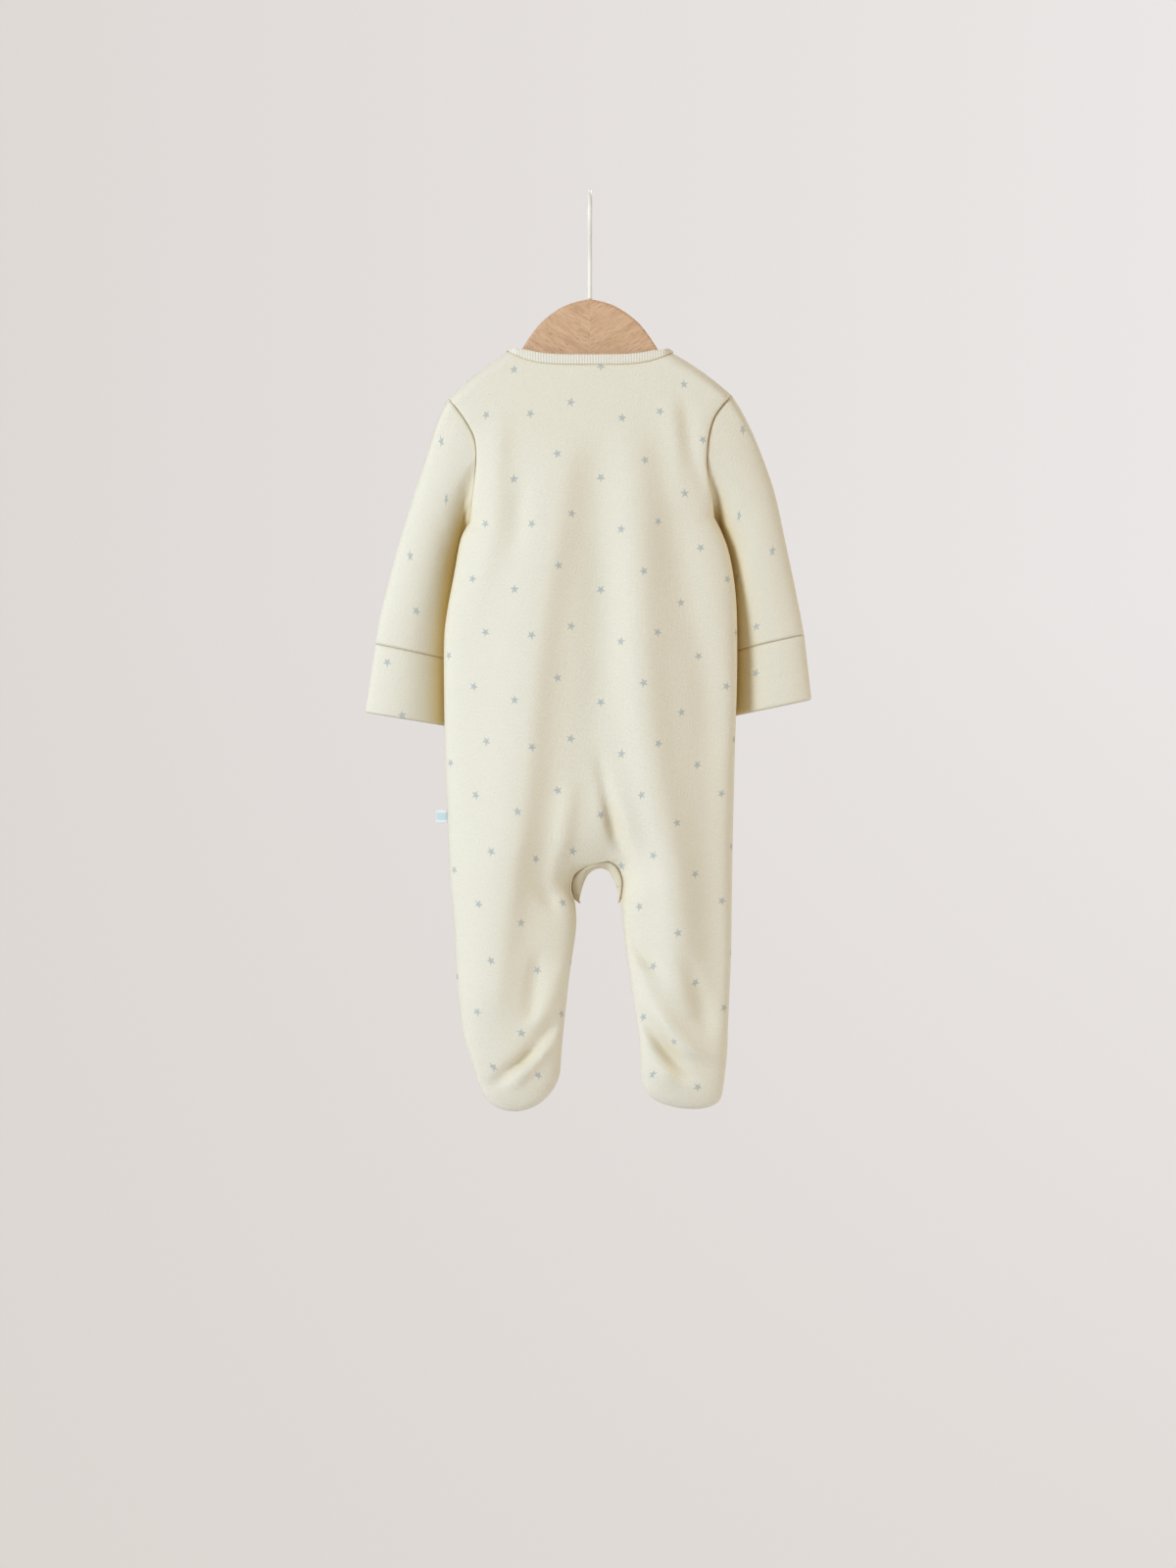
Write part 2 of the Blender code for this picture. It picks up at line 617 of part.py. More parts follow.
def make_hanger():
    """Two halves sawn to one outline, rounded along their edges, with a bore for the hook."""
    cutter_mesh = bmesh.new()
    bmesh.ops.create_cone(cutter_mesh, cap_ends=True, segments=16,
                          radius1=(WIRE_RADIUS + BORE_CLEAR) * MM,
                          radius2=(WIRE_RADIUS + BORE_CLEAR) * MM, depth=2 * STEM_DEPTH * MM)
    cutter = add("bore_cutter", cutter_mesh, "beech")
    cutter.location = Vector((0, 0, HANGER_TOP[0][1])) * MM
    cutter.hide_render = True
    cutter.display_type = "WIRE"
    for side, way in (("left", -1), ("right", 1)):
        outline = [along(HANGER_TOP, k / 16) for k in range(17)]
        outline += [Vector(p) for p in HANGER_BELOW]
        bm = bmesh.new()
        verts = []
        for p in outline:
            x = max(p.x, JOINT_GAP)
            verts.append(bm.verts.new(Vector((way * x, -HANGER_HALF_DEPTH, p.y)) * MM))
        face = bm.faces.new(verts)
        done = bmesh.ops.extrude_face_region(bm, geom=[face])
        moved = [g for g in done["geom"] if isinstance(g, bmesh.types.BMVert)]
        bmesh.ops.translate(bm, verts=moved, vec=Vector((0, 2 * HANGER_HALF_DEPTH, 0)) * MM)
        bmesh.ops.recalc_face_normals(bm, faces=bm.faces)
        arm = add(f"hanger_{side}", bm, "beech")
        bevel = arm.modifiers.new("rounded", "BEVEL")
        bevel.width = 2.4 * MM
        bevel.segments = 2
        bevel.limit_method = "ANGLE"
        bevel.angle_limit = math.radians(50)
        bore = arm.modifiers.new("bore", "BOOLEAN")
        bore.operation = "DIFFERENCE"
        bore.object = cutter


def make_hook():
    crown = WIRE_RADIUS - HOOK_RADIUS
    points = []
    steps = 22
    for k in range(steps + 1):
        a = math.radians(HOOK_TIP_ANGLE + (HOOK_LEAVE_ANGLE - HOOK_TIP_ANGLE) * k / steps)
        points.append(Vector((0, HOOK_RADIUS * math.cos(a), crown + HOOK_RADIUS * math.sin(a))))
    bottom = HANGER_TOP[0][1] - STEM_DEPTH + BORE_CLEAR
    stem = [points[-1], Vector((0, 6.0, -38.5)), Vector((0, 1.3, -45.5)), Vector((0, 0, -54)),
            Vector((0, 0, -66)), Vector((0, 0, bottom))]
    points += [along(stem, k / 14) for k in range(1, 15)]
    curve = bpy.data.curves.new("hook", "CURVE")
    curve.dimensions = "3D"
    curve.bevel_depth = WIRE_RADIUS * MM
    curve.bevel_resolution = 2
    curve.use_fill_caps = True
    line = curve.splines.new("POLY")
    line.points.add(len(points) - 1)
    for slot, p in zip(line.points, points):
        slot.co = (*(p * MM), 1)
    curve.materials.append(material("painted_wire"))
    bpy.context.collection.objects.link(bpy.data.objects.new("hook", curve))


def main():
    for old in list(bpy.data.objects):
        bpy.data.objects.remove(old)
    make_back()
    make_fronts()
    make_feet()
    make_gusset()
    make_sleeves()
    make_binding()
    make_placket()
    make_tag()
    make_hanger()
    make_hook()


main()
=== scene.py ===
from math import copysign, cos, exp, pi, radians, sin, sqrt
import bmesh
import bpy
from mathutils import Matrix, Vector


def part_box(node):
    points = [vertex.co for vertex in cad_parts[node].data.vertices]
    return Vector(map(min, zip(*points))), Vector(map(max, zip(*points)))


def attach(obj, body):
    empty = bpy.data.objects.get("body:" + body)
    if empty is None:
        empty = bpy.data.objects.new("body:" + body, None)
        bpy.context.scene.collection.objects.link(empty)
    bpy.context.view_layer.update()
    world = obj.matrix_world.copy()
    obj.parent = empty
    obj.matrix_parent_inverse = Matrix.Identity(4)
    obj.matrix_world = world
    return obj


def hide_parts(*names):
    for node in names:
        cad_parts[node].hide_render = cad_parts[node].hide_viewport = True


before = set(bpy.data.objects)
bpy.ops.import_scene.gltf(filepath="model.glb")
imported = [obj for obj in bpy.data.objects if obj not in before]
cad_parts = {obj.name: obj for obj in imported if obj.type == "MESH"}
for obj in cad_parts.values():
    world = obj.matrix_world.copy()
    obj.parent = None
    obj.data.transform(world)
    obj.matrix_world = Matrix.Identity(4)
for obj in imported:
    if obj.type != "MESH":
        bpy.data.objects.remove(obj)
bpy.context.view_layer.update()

mm = 0.001    # tables are in millimetres, the scene is in metres

# the garment's cut as it hangs, seen from behind: across, height
cut = {
    "armhole": {
        "left": [(-104.4, -149.8), (-95.8, -159.8), (-87.4, -172.8), (-83.7, -183), (-83.2, -197),
            (-85, -214), (-87.0, -228), (-88.6, -240.5)],
        "right": [(104.4, -147.3), (96.5, -156.2), (90, -166.3), (86.4, -180.7), (85.4, -197),
            (87.1, -210.5), (89.6, -223), (91.4, -237)]},
    "side": {
        "left": [(-88.6, -240.5), (-95, -253), (-100, -280), (-105, -307), (-107.2, -331),
            (-106.8, -389), (-106.2, -425), (-104.4, -458), (-103, -501), (-100, -533),
            (-97.9, -577), (-95.8, -598), (-93.2, -616), (-87.8, -631), (-81.4, -648)],
        "right": [(91.4, -237), (96.5, -247), (102.2, -263), (106.4, -287), (108, -313),
            (108, -357), (106.6, -404), (105.2, -460), (104.4, -503), (103.7, -556),
            (101.5, -609), (100.8, -629), (99.4, -642), (97.4, -656)]},
    "centre": [(0, -125.6), (0, -200), (1, -300), (3, -400), (6, -460), (8, -490)],
    "crotch": {
        "left": [(8, -490), (-0.7, -492.6), (-7.2, -496), (-11.9, -500), (-14, -505),
            (-14.2, -510), (-12.8, -515), (-10.8, -520)],
        "right": [(8, -490), (13, -489.4), (17, -490.8), (20, -493.2), (23, -498), (24.5, -503.5),
            (24.2, -510.5), (22.8, -520)]},
    "inseam": {
        "left": [(-10.8, -520), (-9.8, -532), (-10.8, -545), (-14.8, -572), (-17.3, -595),
            (-20.2, -622), (-21.6, -640)],
        "right": [(22.8, -520), (24, -532), (25.4, -545), (28.8, -572), (32.4, -595), (36, -616),
            (37.1, -636), (38.2, -648)]},
    "neckPoint": {"left": (-60.5, -114.9), "right": (60.5, -116.0)},
    "frontNeckDrop": 34.0,
    "gap": [(-9.3, -522.5), (-8.2, -519.8), (-6.5, -512), (-5, -507), (-2.9, -502),
        (-0.7, -498.6), (4, -495.4), (9, -494.8), (13.7, -497), (16.6, -501.8), (19.4, -507),
        (20.6, -512), (21.4, -517), (22.3, -522.5)],
}

# how far the cloth stands from the middle plane
hang = {
    "depth": [(-110, 13), (-150, 17), (-200, 21), (-240, 24), (-330, 27), (-430, 28), (-480, 26),
              (-520, 22), (-560, 20), (-600, 19), (-650, 18)],
    "armholeDepth": [(0, 10), (0.2, 12.5), (0.5, 13.5), (0.8, 9), (0.93, 4), (1, 0.3)],
    "halfPower": 0.31, "seatDepth": 12.0, "seatReach": 50.0, "farOff": 60.0,
    "shoulderRound": 10.0, "shoulderBow": 2.0, "backNeckPower": 4, "frontNeckPower": 2.4,
    "yokeCrowd": 1.5, "yokeFade": 1.3, "footCrowd": 1.5, "footSagPower": 1.4, "footClose": 2.6,
    "legColumns": -380.0, "legStart": -400.0, "legWhole": -490.0,
    "footSag": {"left": (29.0, 1.0), "right": (19.0, 0.7)},
    "neckColumn": 0.606,
}
# folds grow deeper on the back, start below the neck and fade towards the crotch's seam
foldHold = {"deeper": {"back": 1.7, "front": 1.0}, "yokeRun": 3, "clear": 2.0, "grow": 24.0}

# folds: face, half width to the left and right, points down the fold: across, height, rise
folds = [
    # the broad left ridge, from between the shoulders down the left leg
    ("back", 34, 15, [(-12, -165, 0), (-19, -205, 3.0), (-33, -289, 4.6), (-42, -361, 5.6),
        (-48, -433, 6.2), (-59, -505, 6.0), (-69, -577, 4.2), (-71, -625, 0)]),
    # the trough beside it, then the right ridge
    ("back", 15, 17, [(-1, -180, 0), (4, -230, -1.4), (7, -289, -2.0), (4, -361, -1.8),
        (-3, -433, -1.2), (-14, -480, 0)]),
    ("back", 17, 17, [(28, -160, 0), (33, -203, 2.8), (36, -289, 4.4), (39, -361, 5.0),
        (47, -433, 5.4), (59, -505, 5.2), (66, -577, 3.8), (68, -615, 0)]),
    ("back", 15, 15, [(52, -160, 0), (57, -203, -1.2), (71, -289, -2.2), (85, -361, -2.8),
        (89, -433, -2.6), (91, -505, -2.2), (93, -577, -2.4), (93, -625, 0)]),
    # pulled from the right armhole
    ("back", 6, 6, [(68, -142, 0), (72, -168, -1.3), (75, -190, -1.6), (82, -212, -1.2),
        (87, -232, 0)]),
    ("back", 9, 6, [(58, -138, 0), (61, -172, 1.2), (64, -205, 1.0), (70, -240, 0)]),
    ("back", 12, 9, [(-66, -150, 0), (-68, -190, 1.8), (-72, -250, 1.6), (-88, -330, 0)]),
    ("back", 8, 8, [(-48, -190, 0), (-52, -240, -1.3), (-55, -285, 0)]),
    # over the seat
    ("back", 5, 6, [(4, -395, 0), (10, -430, -1.4), (17, -464, -3.2), (23, -486, -2.4),
        (27, -502, 0)]),
    ("back", 6, 9, [(14, -420, 0), (27, -462, 1.6), (35, -500, 2.4), (40, -532, 0)]),
    ("back", 7, 8, [(-13, -420, 0), (-18, -456, 2.2), (-23, -490, 2.6), (-29, -520, 0)]),
    ("back", 6, 6, [(-36, -498, 0), (-30, -516, -2.2), (-25, -536, 0)]),
    # the crumpled ankles
    ("back", 7, 8, [(-16, -552, 0), (-22, -572, 1.8), (-34, -600, 2.0), (-44, -618, 0)]),
    ("back", 6, 6, [(-36, -548, 0), (-40, -572, -2.2), (-43, -598, -1.6), (-46, -612, 0)]),
    ("back", 7, 7, [(-24, -598, 0), (-32, -616, -2.6), (-47, -634, -4.2), (-64, -647, -3.0),
        (-73, -660, 0)]),
    ("back", 7, 7, [(-24, -610, 0), (-34, -628, 3.2), (-50, -645, 3.0), (-58, -660, 0)]),
    ("back", 6, 6, [(24, -530, 0), (30, -548, -2.8), (42, -563, -2.6), (52, -574, 0)]),
    ("back", 8, 9, [(27, -552, 0), (38, -578, 2.6), (54, -604, 4.0), (72, -626, 3.2),
        (88, -640, 0)]),
    ("back", 7, 7, [(32, -590, 0), (42, -609, -3.4), (56, -628, -4.6), (67, -642, -2.8),
        (74, -654, 0)]),
    ("back", 6, 6, [(44, -628, 0), (56, -646, 2.6), (64, -656, 0)]),
    ("back", 8, 8, [(68, -548, 0), (75, -574, -2.2), (84, -604, -2.6), (90, -624, 0)]),
    # the fronts, closed over the same hanger
    ("front", 15, 30, [(-26, -180, 0), (-36, -260, 2.8), (-46, -360, 4.2), (-56, -470, 4.6),
        (-64, -560, 3.0), (-66, -610, 0)]),
    ("front", 30, 15, [(30, -180, 0), (38, -260, 2.8), (47, -360, 4.0), (58, -470, 4.4),
        (66, -560, 3.0), (68, -610, 0)]),
    ("front", 14, 14, [(-62, -170, 0), (-70, -260, -2.0), (-80, -380, -2.4), (-84, -500, 0)]),
    ("front", 14, 14, [(64, -170, 0), (74, -260, -2.0), (84, -380, -2.4), (88, -500, 0)]),
    ("front", 5, 5, [(-70, -150, 0), (-74, -190, -2.0), (-84, -226, 0)]),
    ("front", 5, 5, [(71, -150, 0), (75, -190, -2.0), (86, -222, 0)]),
    ("front", 6, 6, [(-18, -420, 0), (-21, -460, 2.0), (-27, -510, 0)]),
    ("front", 6, 6, [(30, -420, 0), (32, -460, 2.0), (36, -510, 0)]),
    ("front", 6, 6, [(-60, -590, 0), (-46, -612, 2.2), (-34, -625, 0)]),
    ("front", 6, 6, [(50, -590, 0), (66, -612, 2.2), (80, -625, 0)]),
]

# the stretches of a panel: name, outer line and its share, inner line and its share, rows
shell = {"wall": 1.6, "columns": 44, "seamGap": 0.05, "seamRoll": 0.06, "weld": 0.02,
         "stretches": [("yoke", "armhole", 0, 1, "centre", 0, 0.34, 34),
                       ("body", "side", 0, 0.55, "centre", 0.34, 1, 62),
                       ("seat", "side", 0.55, 0.7, "crotch", 0, 1, 26),
                       ("leg", "side", 0.7, 0.87, "inseam", 0, 0.66, 20),
                       ("foot", "side", 0.87, 1, "inseam", 0.66, 1, 26)]}


def steps(count):
    return [k / count for k in range(count + 1)]


def ease(f):
    f = min(1.0, max(0.0, f))
    return f * f * (3 - 2 * f)


def readTable(table, key):
    rows = sorted(table)
    if key <= rows[0][0]:
        return rows[0][1]
    for (k0, v0), (k1, v1) in zip(rows, rows[1:]):
        if key <= k1:
            return v0 + (v1 - v0) * (key - k0) / (k1 - k0)
    return rows[-1][1]


def lengthAlong(points):
    total = [0.0]
    for a, b in zip(points, points[1:]):
        total.append(total[-1] + (b - a).length)
    return total


def cubic(before, a, b, after, t):
    # a smooth step from a to b that also heeds their neighbours
    return 0.5 * (2 * a + (b - before) * t + (2 * before - 5 * a + 4 * b - after) * t ** 2
                  + (3 * a - before - 3 * b + after) * t ** 3)


def along(points, f):
    # point at a fraction of the length of a smooth line through the points
    pts = [Vector(p) for p in points]
    lengths = lengthAlong(pts)
    want = f * lengths[-1]
    k = max(i for i in range(len(pts) - 1) if lengths[i] <= want + 1e-9)
    t = (want - lengths[k]) / (lengths[k + 1] - lengths[k])
    before = pts[k - 1] if k else pts[0] * 2 - pts[1]
    after = pts[k + 2] if k + 2 < len(pts) else pts[-1] * 2 - pts[-2]
    return cubic(before, pts[k], pts[k + 1], after, t)


def smoothRead(table, key):
    # the same table without corners
    return sum(readTable(table, key + d) for d in (-12, -6, 0, 6, 12)) / 5


def shoulderHeight(side, x):
    start, end = Vector(cut["neckPoint"][side]), Vector(cut["armhole"][side][0])
    f = (x - start.x) / (end.x - start.x)
    bow = hang["shoulderBow"] * max(0.0, 4 * f * (1 - f)) if f > 0 else 0.0
    return start.y + (end.y - start.y) * f + bow


def neckHeight(face, side, x):
    start = Vector(cut["neckPoint"][side])
    f = min(1.0, abs(x / start.x))
    if face == "back":
        low = cut["centre"][0][1]
        return low + (start.y - low) * f ** hang["backNeckPower"]
    drop = sqrt(max(0.0, 1 - f ** hang["frontNeckPower"]))
    return start.y - cut["frontNeckDrop"] * drop


def overShoulder(side, x, z):
    below = max(0.0, shoulderHeight(side, x) - z) / hang["shoulderRound"]
    return sqrt(1 - (1 - min(1.0, below)) ** 2)


def armholePoint(side, f):
    x, z = along(cut["armhole"][side], f)
    return Vector((x, readTable(hang["armholeDepth"], f) * overShoulder(side, x, z), z))


def foldRise(face, x, z):
    total = 0.0
    for where, leftWidth, rightWidth, points in folds:
        if where != face or not points[-1][1] < z < points[0][1]:
            continue
        k = max(i for i in range(len(points) - 1) if points[i][1] >= z)
        t = (points[k][1] - z) / (points[k][1] - points[k + 1][1])
        before, after = points[max(0, k - 1)], points[min(len(points) - 1, k + 2)]
        a, b = points[k], points[k + 1]
        line = cubic(before[0], a[0], b[0], after[0], t)
        width = leftWidth if x < line else rightWidth
        total += (a[2] + (b[2] - a[2]) * ease(t)) * exp(-((x - line) / width) ** 2)
    return total * foldHold["deeper"][face]


crotchLine = ([along(cut["crotch"]["left"], 1 - k / 30) for k in range(30)]
              + [along(cut["crotch"]["right"], k / 30) for k in range(31)])


def crotchDistance(x, z):
    # how far a place on the cloth lies from the seam under the crotch
    place, best = Vector((x, z)), 1e9
    for a, b in zip(crotchLine, crotchLine[1:]):
        t = min(1.0, max(0.0, (place - a).dot(b - a) / (b - a).length_squared))
        best = min(best, (place - a - (b - a) * t).length)
    return best


def crotchDepth(v):
    # the seam stands away from the middle plane at its top and runs into it down the legs
    return hang["seatDepth"] * ease(1 - v)


def rowEnds(face, side, stretch, v):
    name, outer, o0, o1, inner, i0, i1, _ = stretch
    start = along(cut[outer][side], o0 + (o1 - o0) * v)
    line = cut[inner] if inner == "centre" else cut[inner][side]
    end = along(line, i0 + (i1 - i0) * v)
    if face == "front" and name == "yoke":
        top = neckHeight("front", side, 0)
        end = Vector((end.x, top + (along(line, i1).y - top) * v))
    return start, end


def clothRow(face, side, stretch, v, columns):
    # one row of a panel, from the side to the middle
    name = stretch[0]
    start, end = rowEnds(face, side, stretch, v)
    spacing = split = 1.0
    if name in ("yoke", "body"):
        spacing = ease((hang["legColumns"] - end.y) / (hang["legColumns"] - hang["legWhole"]))
        split = ease((hang["legStart"] - end.y) / (hang["legStart"] - hang["legWhole"]))
    crotch = crotchDepth({"yoke": 0.0, "body": 0.0, "seat": v}.get(name, 1.0))
    settled = {"yoke": 0.0, "body": 0.0, "seat": ease(v)}.get(name, 1.0)
    edge = armholePoint(side, v).y if name == "yoke" else 0.0
    first = rowEnds(face, side, stretch, 0)
    middle = (start.x + end.x) / 2
    row = []
    for q in steps(columns):
        height = start.y + (end.y - start.y) * ease(q)
        torsoX = end.x + (start.x - end.x) * cos(pi * q / 2)
        legX = middle + (start.x - end.x) / 2 * cos(pi * q)
        x = torsoX * (1 - spacing) + legX * spacing
        if name == "yoke":
            firstX = first[1].x + (first[0].x - first[1].x) * cos(pi * q / 2)
            inside = abs(firstX) < abs(cut["neckPoint"][side][0])
            top = neckHeight(face, side, firstX) if inside else shoulderHeight(side, firstX)
            straight = first[0].y + (first[1].y - first[0].y) * ease(q)
            height += (top - straight) * (1 - v) ** hang["yokeFade"]
        closing = 1.0
        if name == "foot":
            sag, power = hang["footSag"][side]
            height -= sag * v ** hang["footSagPower"] * max(0.0, sin(pi * q)) ** power
            closing = sqrt(max(0.0, 1 - v ** hang["footClose"]))
        full = smoothRead(hang["depth"], height)
        fromCentre = (x - end.x) / (start.x - end.x)
        torso = edge + (full - edge) * max(0.0, 1 - fromCentre ** 2) ** hang["halfPower"]
        if name == "yoke":
            torso = torso * overShoulder(side, x, height) if q > 0 else edge
        inner = abs(x - end.x) / abs(start.x - middle)
        near = crotchDistance(x, height) if name == "seat" or split > 0 else hang["farOff"]
        if inner < 1:
            inner = inner * settled + near / hang["seatReach"] * (1 - settled)
            swell = 1 - (1 - min(1.0, inner)) ** 2
            leg = crotch + (full - crotch) * swell ** (1 + (hang["halfPower"] - 1) * settled)
        else:
            leg = full * max(0.0, 1 - (inner - 1) ** 2) ** hang["halfPower"]
        depth = torso * (1 - split) + leg * split * closing
        # no fold at the side, none at a leg's inner seam, and none close under the crotch
        clear = 1.0
        if name in ("body", "seat"):
            clear = ease((near - foldHold["clear"]) / foldHold["grow"])
        held = clear * (1 - settled) + sin(pi * max(q, 0.5)) * settled
        held *= sin(pi * min(q, 0.5))
        if name == "yoke":
            held *= ease(v * foldHold["yokeRun"])
        depth += foldRise(face, x, height) * held * closing
        row.append(Vector((x, -depth if face == "back" else depth, height)))
    return row


def panelRows(face, side, names, columns):
    rows = []
    for stretch in [s for s in shell["stretches"] if s[0] in names]:
        count = stretch[7]
        for k in range(count + 1):
            if k == 0 and rows:
                continue
            v = k / count
            if stretch[0] == "yoke":
                v = v ** hang["yokeCrowd"]
            if stretch[0] == "foot":
                v = 1 - (1 - v) ** hang["footCrowd"]
            rows.append(clothRow(face, side, stretch, v, columns))
    return rows


print("garment's form ready")


def toLinear(hexText):
    values = [int(hexText[i:i + 2], 16) / 255 for i in (0, 2, 4)]
    return (*[v / 12.92 if v < 0.04045 else ((v + 0.055) / 1.055) ** 2.4 for v in values], 1)


def addNode(tree, kind, inputs=None, **settings):
    # an input takes a value, or is linked from another node
    node = tree.nodes.new("ShaderNode" + kind)
    for name, value in settings.items():
        setattr(node, name, value)
    for key, value in (inputs or {}).items():
        if isinstance(value, bpy.types.Node):
            value = value.outputs[0]
        if isinstance(value, bpy.types.NodeSocket):
            tree.links.new(value, node.inputs[key])
        else:
            node.inputs[key].default_value = value
    return node


def addMath(tree, operation, *values):
    return addNode(tree, "Math", dict(enumerate(values)), operation=operation)


def mixColours(tree, share, first, second):
    # each colour is a hex text, a value or a socket
    first, second = (toLinear(c) if isinstance(c, str) else c for c in (first, second))
    return addNode(tree, "Mix", {0: share, 6: first, 7: second}, data_type="RGBA").outputs[2]


def mapRange(tree, value, start, end, low=0, high=1):
    return addNode(tree, "MapRange", {0: value, 1: start, 2: end, 3: low, 4: high})


def newMaterial(name, sockets):
    made = bpy.data.materials.new(name)
    made.use_nodes = True
    shader = made.node_tree.nodes["Principled BSDF"]
    for key, value in sockets.items():
        shader.inputs[key].default_value = value
    return made, made.node_tree, shader


def addFinish(tree, shader, colour, height, bump):
    # the surface's colour, and its relief: strength, depth in mm
    tree.links.new(colour, shader.inputs["Base Color"])
    if bump:
        relief = addNode(tree, "Bump", {"Height": height, "Strength": bump[0],
                                        "Distance": bump[1] * mm})
        tree.links.new(relief.outputs[0], shader.inputs["Normal"])


# the star print: one repeat, each star's place in it and its turn
starPrint = {
    "radius": 3.5, "waist": 0.42, "edge": 0.25, "ink": "9dacb3", "strength": 0.72,
    "fleck": 900, "flecks": (0.35, 0.6, 0.62, 1.0),
    # across, down and turn of each star in one repeat of the print
    "body": {"repeat": (198.0, 80.0),
             "stars": [(-90, 283, 0.2), (-80, 242.5, 0.9), (-57, 211, 0.5), (-44, 164, 0.1),
                       (-24, 194, 0.7), (-14, 157, 0.3), (8, 211, 1.0), (23.5, 168, 0.4),
                       (41, 198, 0.8), (52, 162, 0.15), (71.5, 220.5, 0.6), (86, 260, 0.95)]},
    "left": {"repeat": (140.0, 205.0),
             "stars": [(15, 23, 0.2), (39, 41, 0.6), (17, 94.5, 0.9), (30.5, 124.5, 0.4),
                       (14.5, 165, 0.1), (31, 201, 0.7), (80, 20, 0.5), (105, 56, 0.3),
                       (84, 96, 0.8), (107, 130, 0.15), (88, 176, 0.35)]},
    "right": {"repeat": (140.0, 205.0),
              "stars": [(47.5, 49, 0.3), (17.5, 93.5, 0.8), (55.5, 87, 0.1), (38.5, 135.5, 0.55),
                        (43, 169.5, 0.9), (12, 20, 0.4), (82, 22, 0.65), (108, 60, 0.25),
                        (80, 104, 0.5), (106, 140, 0.15), (84, 182, 0.75)]},
}


def starMask(tree, place, chart):
    # the nearest star's own axes, then a folded five-point test
    wide, high = (length * mm for length in chart["repeat"])
    best = None
    for x, y, turn in chart["stars"]:
        off = addNode(tree, "VectorMath", {0: place, 1: (x * mm, y * mm, 0)}, operation="SUBTRACT")
        near = addNode(tree, "VectorMath",
                       {0: off, 1: (wide / 2, high / 2, 1), 2: (-wide / 2, -high / 2, -1)},
                       operation="WRAP")
        spun = addNode(tree, "VectorRotate", {"Vector": near, "Angle": turn * 2 * pi / 5},
                       rotation_type="Z_AXIS")
        far = addNode(tree, "VectorMath", {0: spun}, operation="LENGTH").outputs["Value"]
        if best is None:
            best = spun, far
            continue
        less = addMath(tree, "LESS_THAN", far, best[1])
        mix = addNode(tree, "Mix", {0: less, 4: best[0], 5: spun}, data_type="VECTOR")
        best = mix.outputs[1], addMath(tree, "MINIMUM", far, best[1])
    parts = addNode(tree, "SeparateXYZ", {0: best[0]})
    angle = addMath(tree, "ARCTAN2", parts.outputs["X"], parts.outputs["Y"])
    folded = addMath(tree, "PINGPONG", angle, pi / 5)
    cosine, sine = addMath(tree, "COSINE", folded), addMath(tree, "SINE", folded)
    tip = Vector((starPrint["radius"] * mm, 0))
    waist = Vector((cos(pi / 5), sin(pi / 5))) * tip.x * starPrint["waist"]
    side = (waist - tip).normalized()
    normal = Vector((-side.y, side.x)) * (1 if -side.y > 0 else -1)
    level = addMath(tree, "MULTIPLY", cosine, normal.x)
    level = addMath(tree, "MULTIPLY_ADD", sine, normal.y, level)
    reach = addMath(tree, "MULTIPLY", level, best[1])
    limit, soft = normal.dot(tip), starPrint["edge"] * mm
    return mapRange(tree, reach, limit + soft, limit - soft)


# cotton interlock, brushed once: a matt, slightly heathered knit whose loops just show
jersey = {"cloth": "f3f0e4", "shade": "e4dfcb", "heather": 620, "stitch": 1.6, "bump": (0.8, 0.5),
          # the next colour is painted shade for the folds and beside the body, where ambient
          # occlusion finds the cloth closed in, with that test's reach and range
          "paintedShade": "d9c285", "paintedShadeReach": 0.045, "paintedShadeRange": (0.25, 0.92),
          "sockets": {"Roughness": 0.92, "Sheen Weight": 0.25, "Sheen Roughness": 0.5,
                      "Specular IOR Level": 0.2}}


def cottonJersey(name, chart):
    made, tree, shader = newMaterial(name, jersey["sockets"])
    place = addNode(tree, "UVMap", uv_map="cloth")
    heather = addNode(tree, "TexNoise", {"Vector": place, "Scale": jersey["heather"], "Detail": 2,
                                         "Roughness": 0.6})
    knit = mixColours(tree, heather.outputs["Fac"], jersey["cloth"], jersey["shade"])
    # painted shade: deep in the folds and beside the body, where ambient occlusion finds the cloth
    # closed in, the colour is mixed towards a darker, warmer tone
    shadeOcclusion = addNode(tree, "AmbientOcclusion", {"Distance": jersey["paintedShadeReach"]}, samples=6)
    paintedShadeShare = mapRange(tree, shadeOcclusion.outputs["AO"], *jersey["paintedShadeRange"], 1, 0)
    knitWithPaintedShade = mixColours(tree, paintedShadeShare, knit, jersey["paintedShade"])
    fleck = addNode(tree, "TexNoise", {"Vector": place, "Scale": starPrint["fleck"], "Detail": 2})
    patchy = mapRange(tree, fleck.outputs["Fac"], *starPrint["flecks"])
    inked = addMath(tree, "MULTIPLY", starMask(tree, place, chart), patchy)
    strength = addMath(tree, "MULTIPLY", inked, starPrint["strength"])
    printed = mixColours(tree, strength, knitWithPaintedShade, starPrint["ink"])
    loops = addNode(tree, "TexNoise", {"Vector": place, "Scale": 1 / (jersey["stitch"] * mm),
                                       "Detail": 3, "Roughness": 0.6})
    addFinish(tree, shader, printed, loops.outputs["Fac"], jersey["bump"])
    return made


# one by one rib, folded over: its 1.4 mm wales are drawn 2 mm apart so that they show, with painted
# shade in the grooves between them
rib = {"pitch": 2.0, "cloth": "f7f5ec", "grooveShade": "dfd9c7", "bump": (0.5, 0.4),
       "sockets": {"Roughness": 0.9, "Sheen Weight": 0.2}}


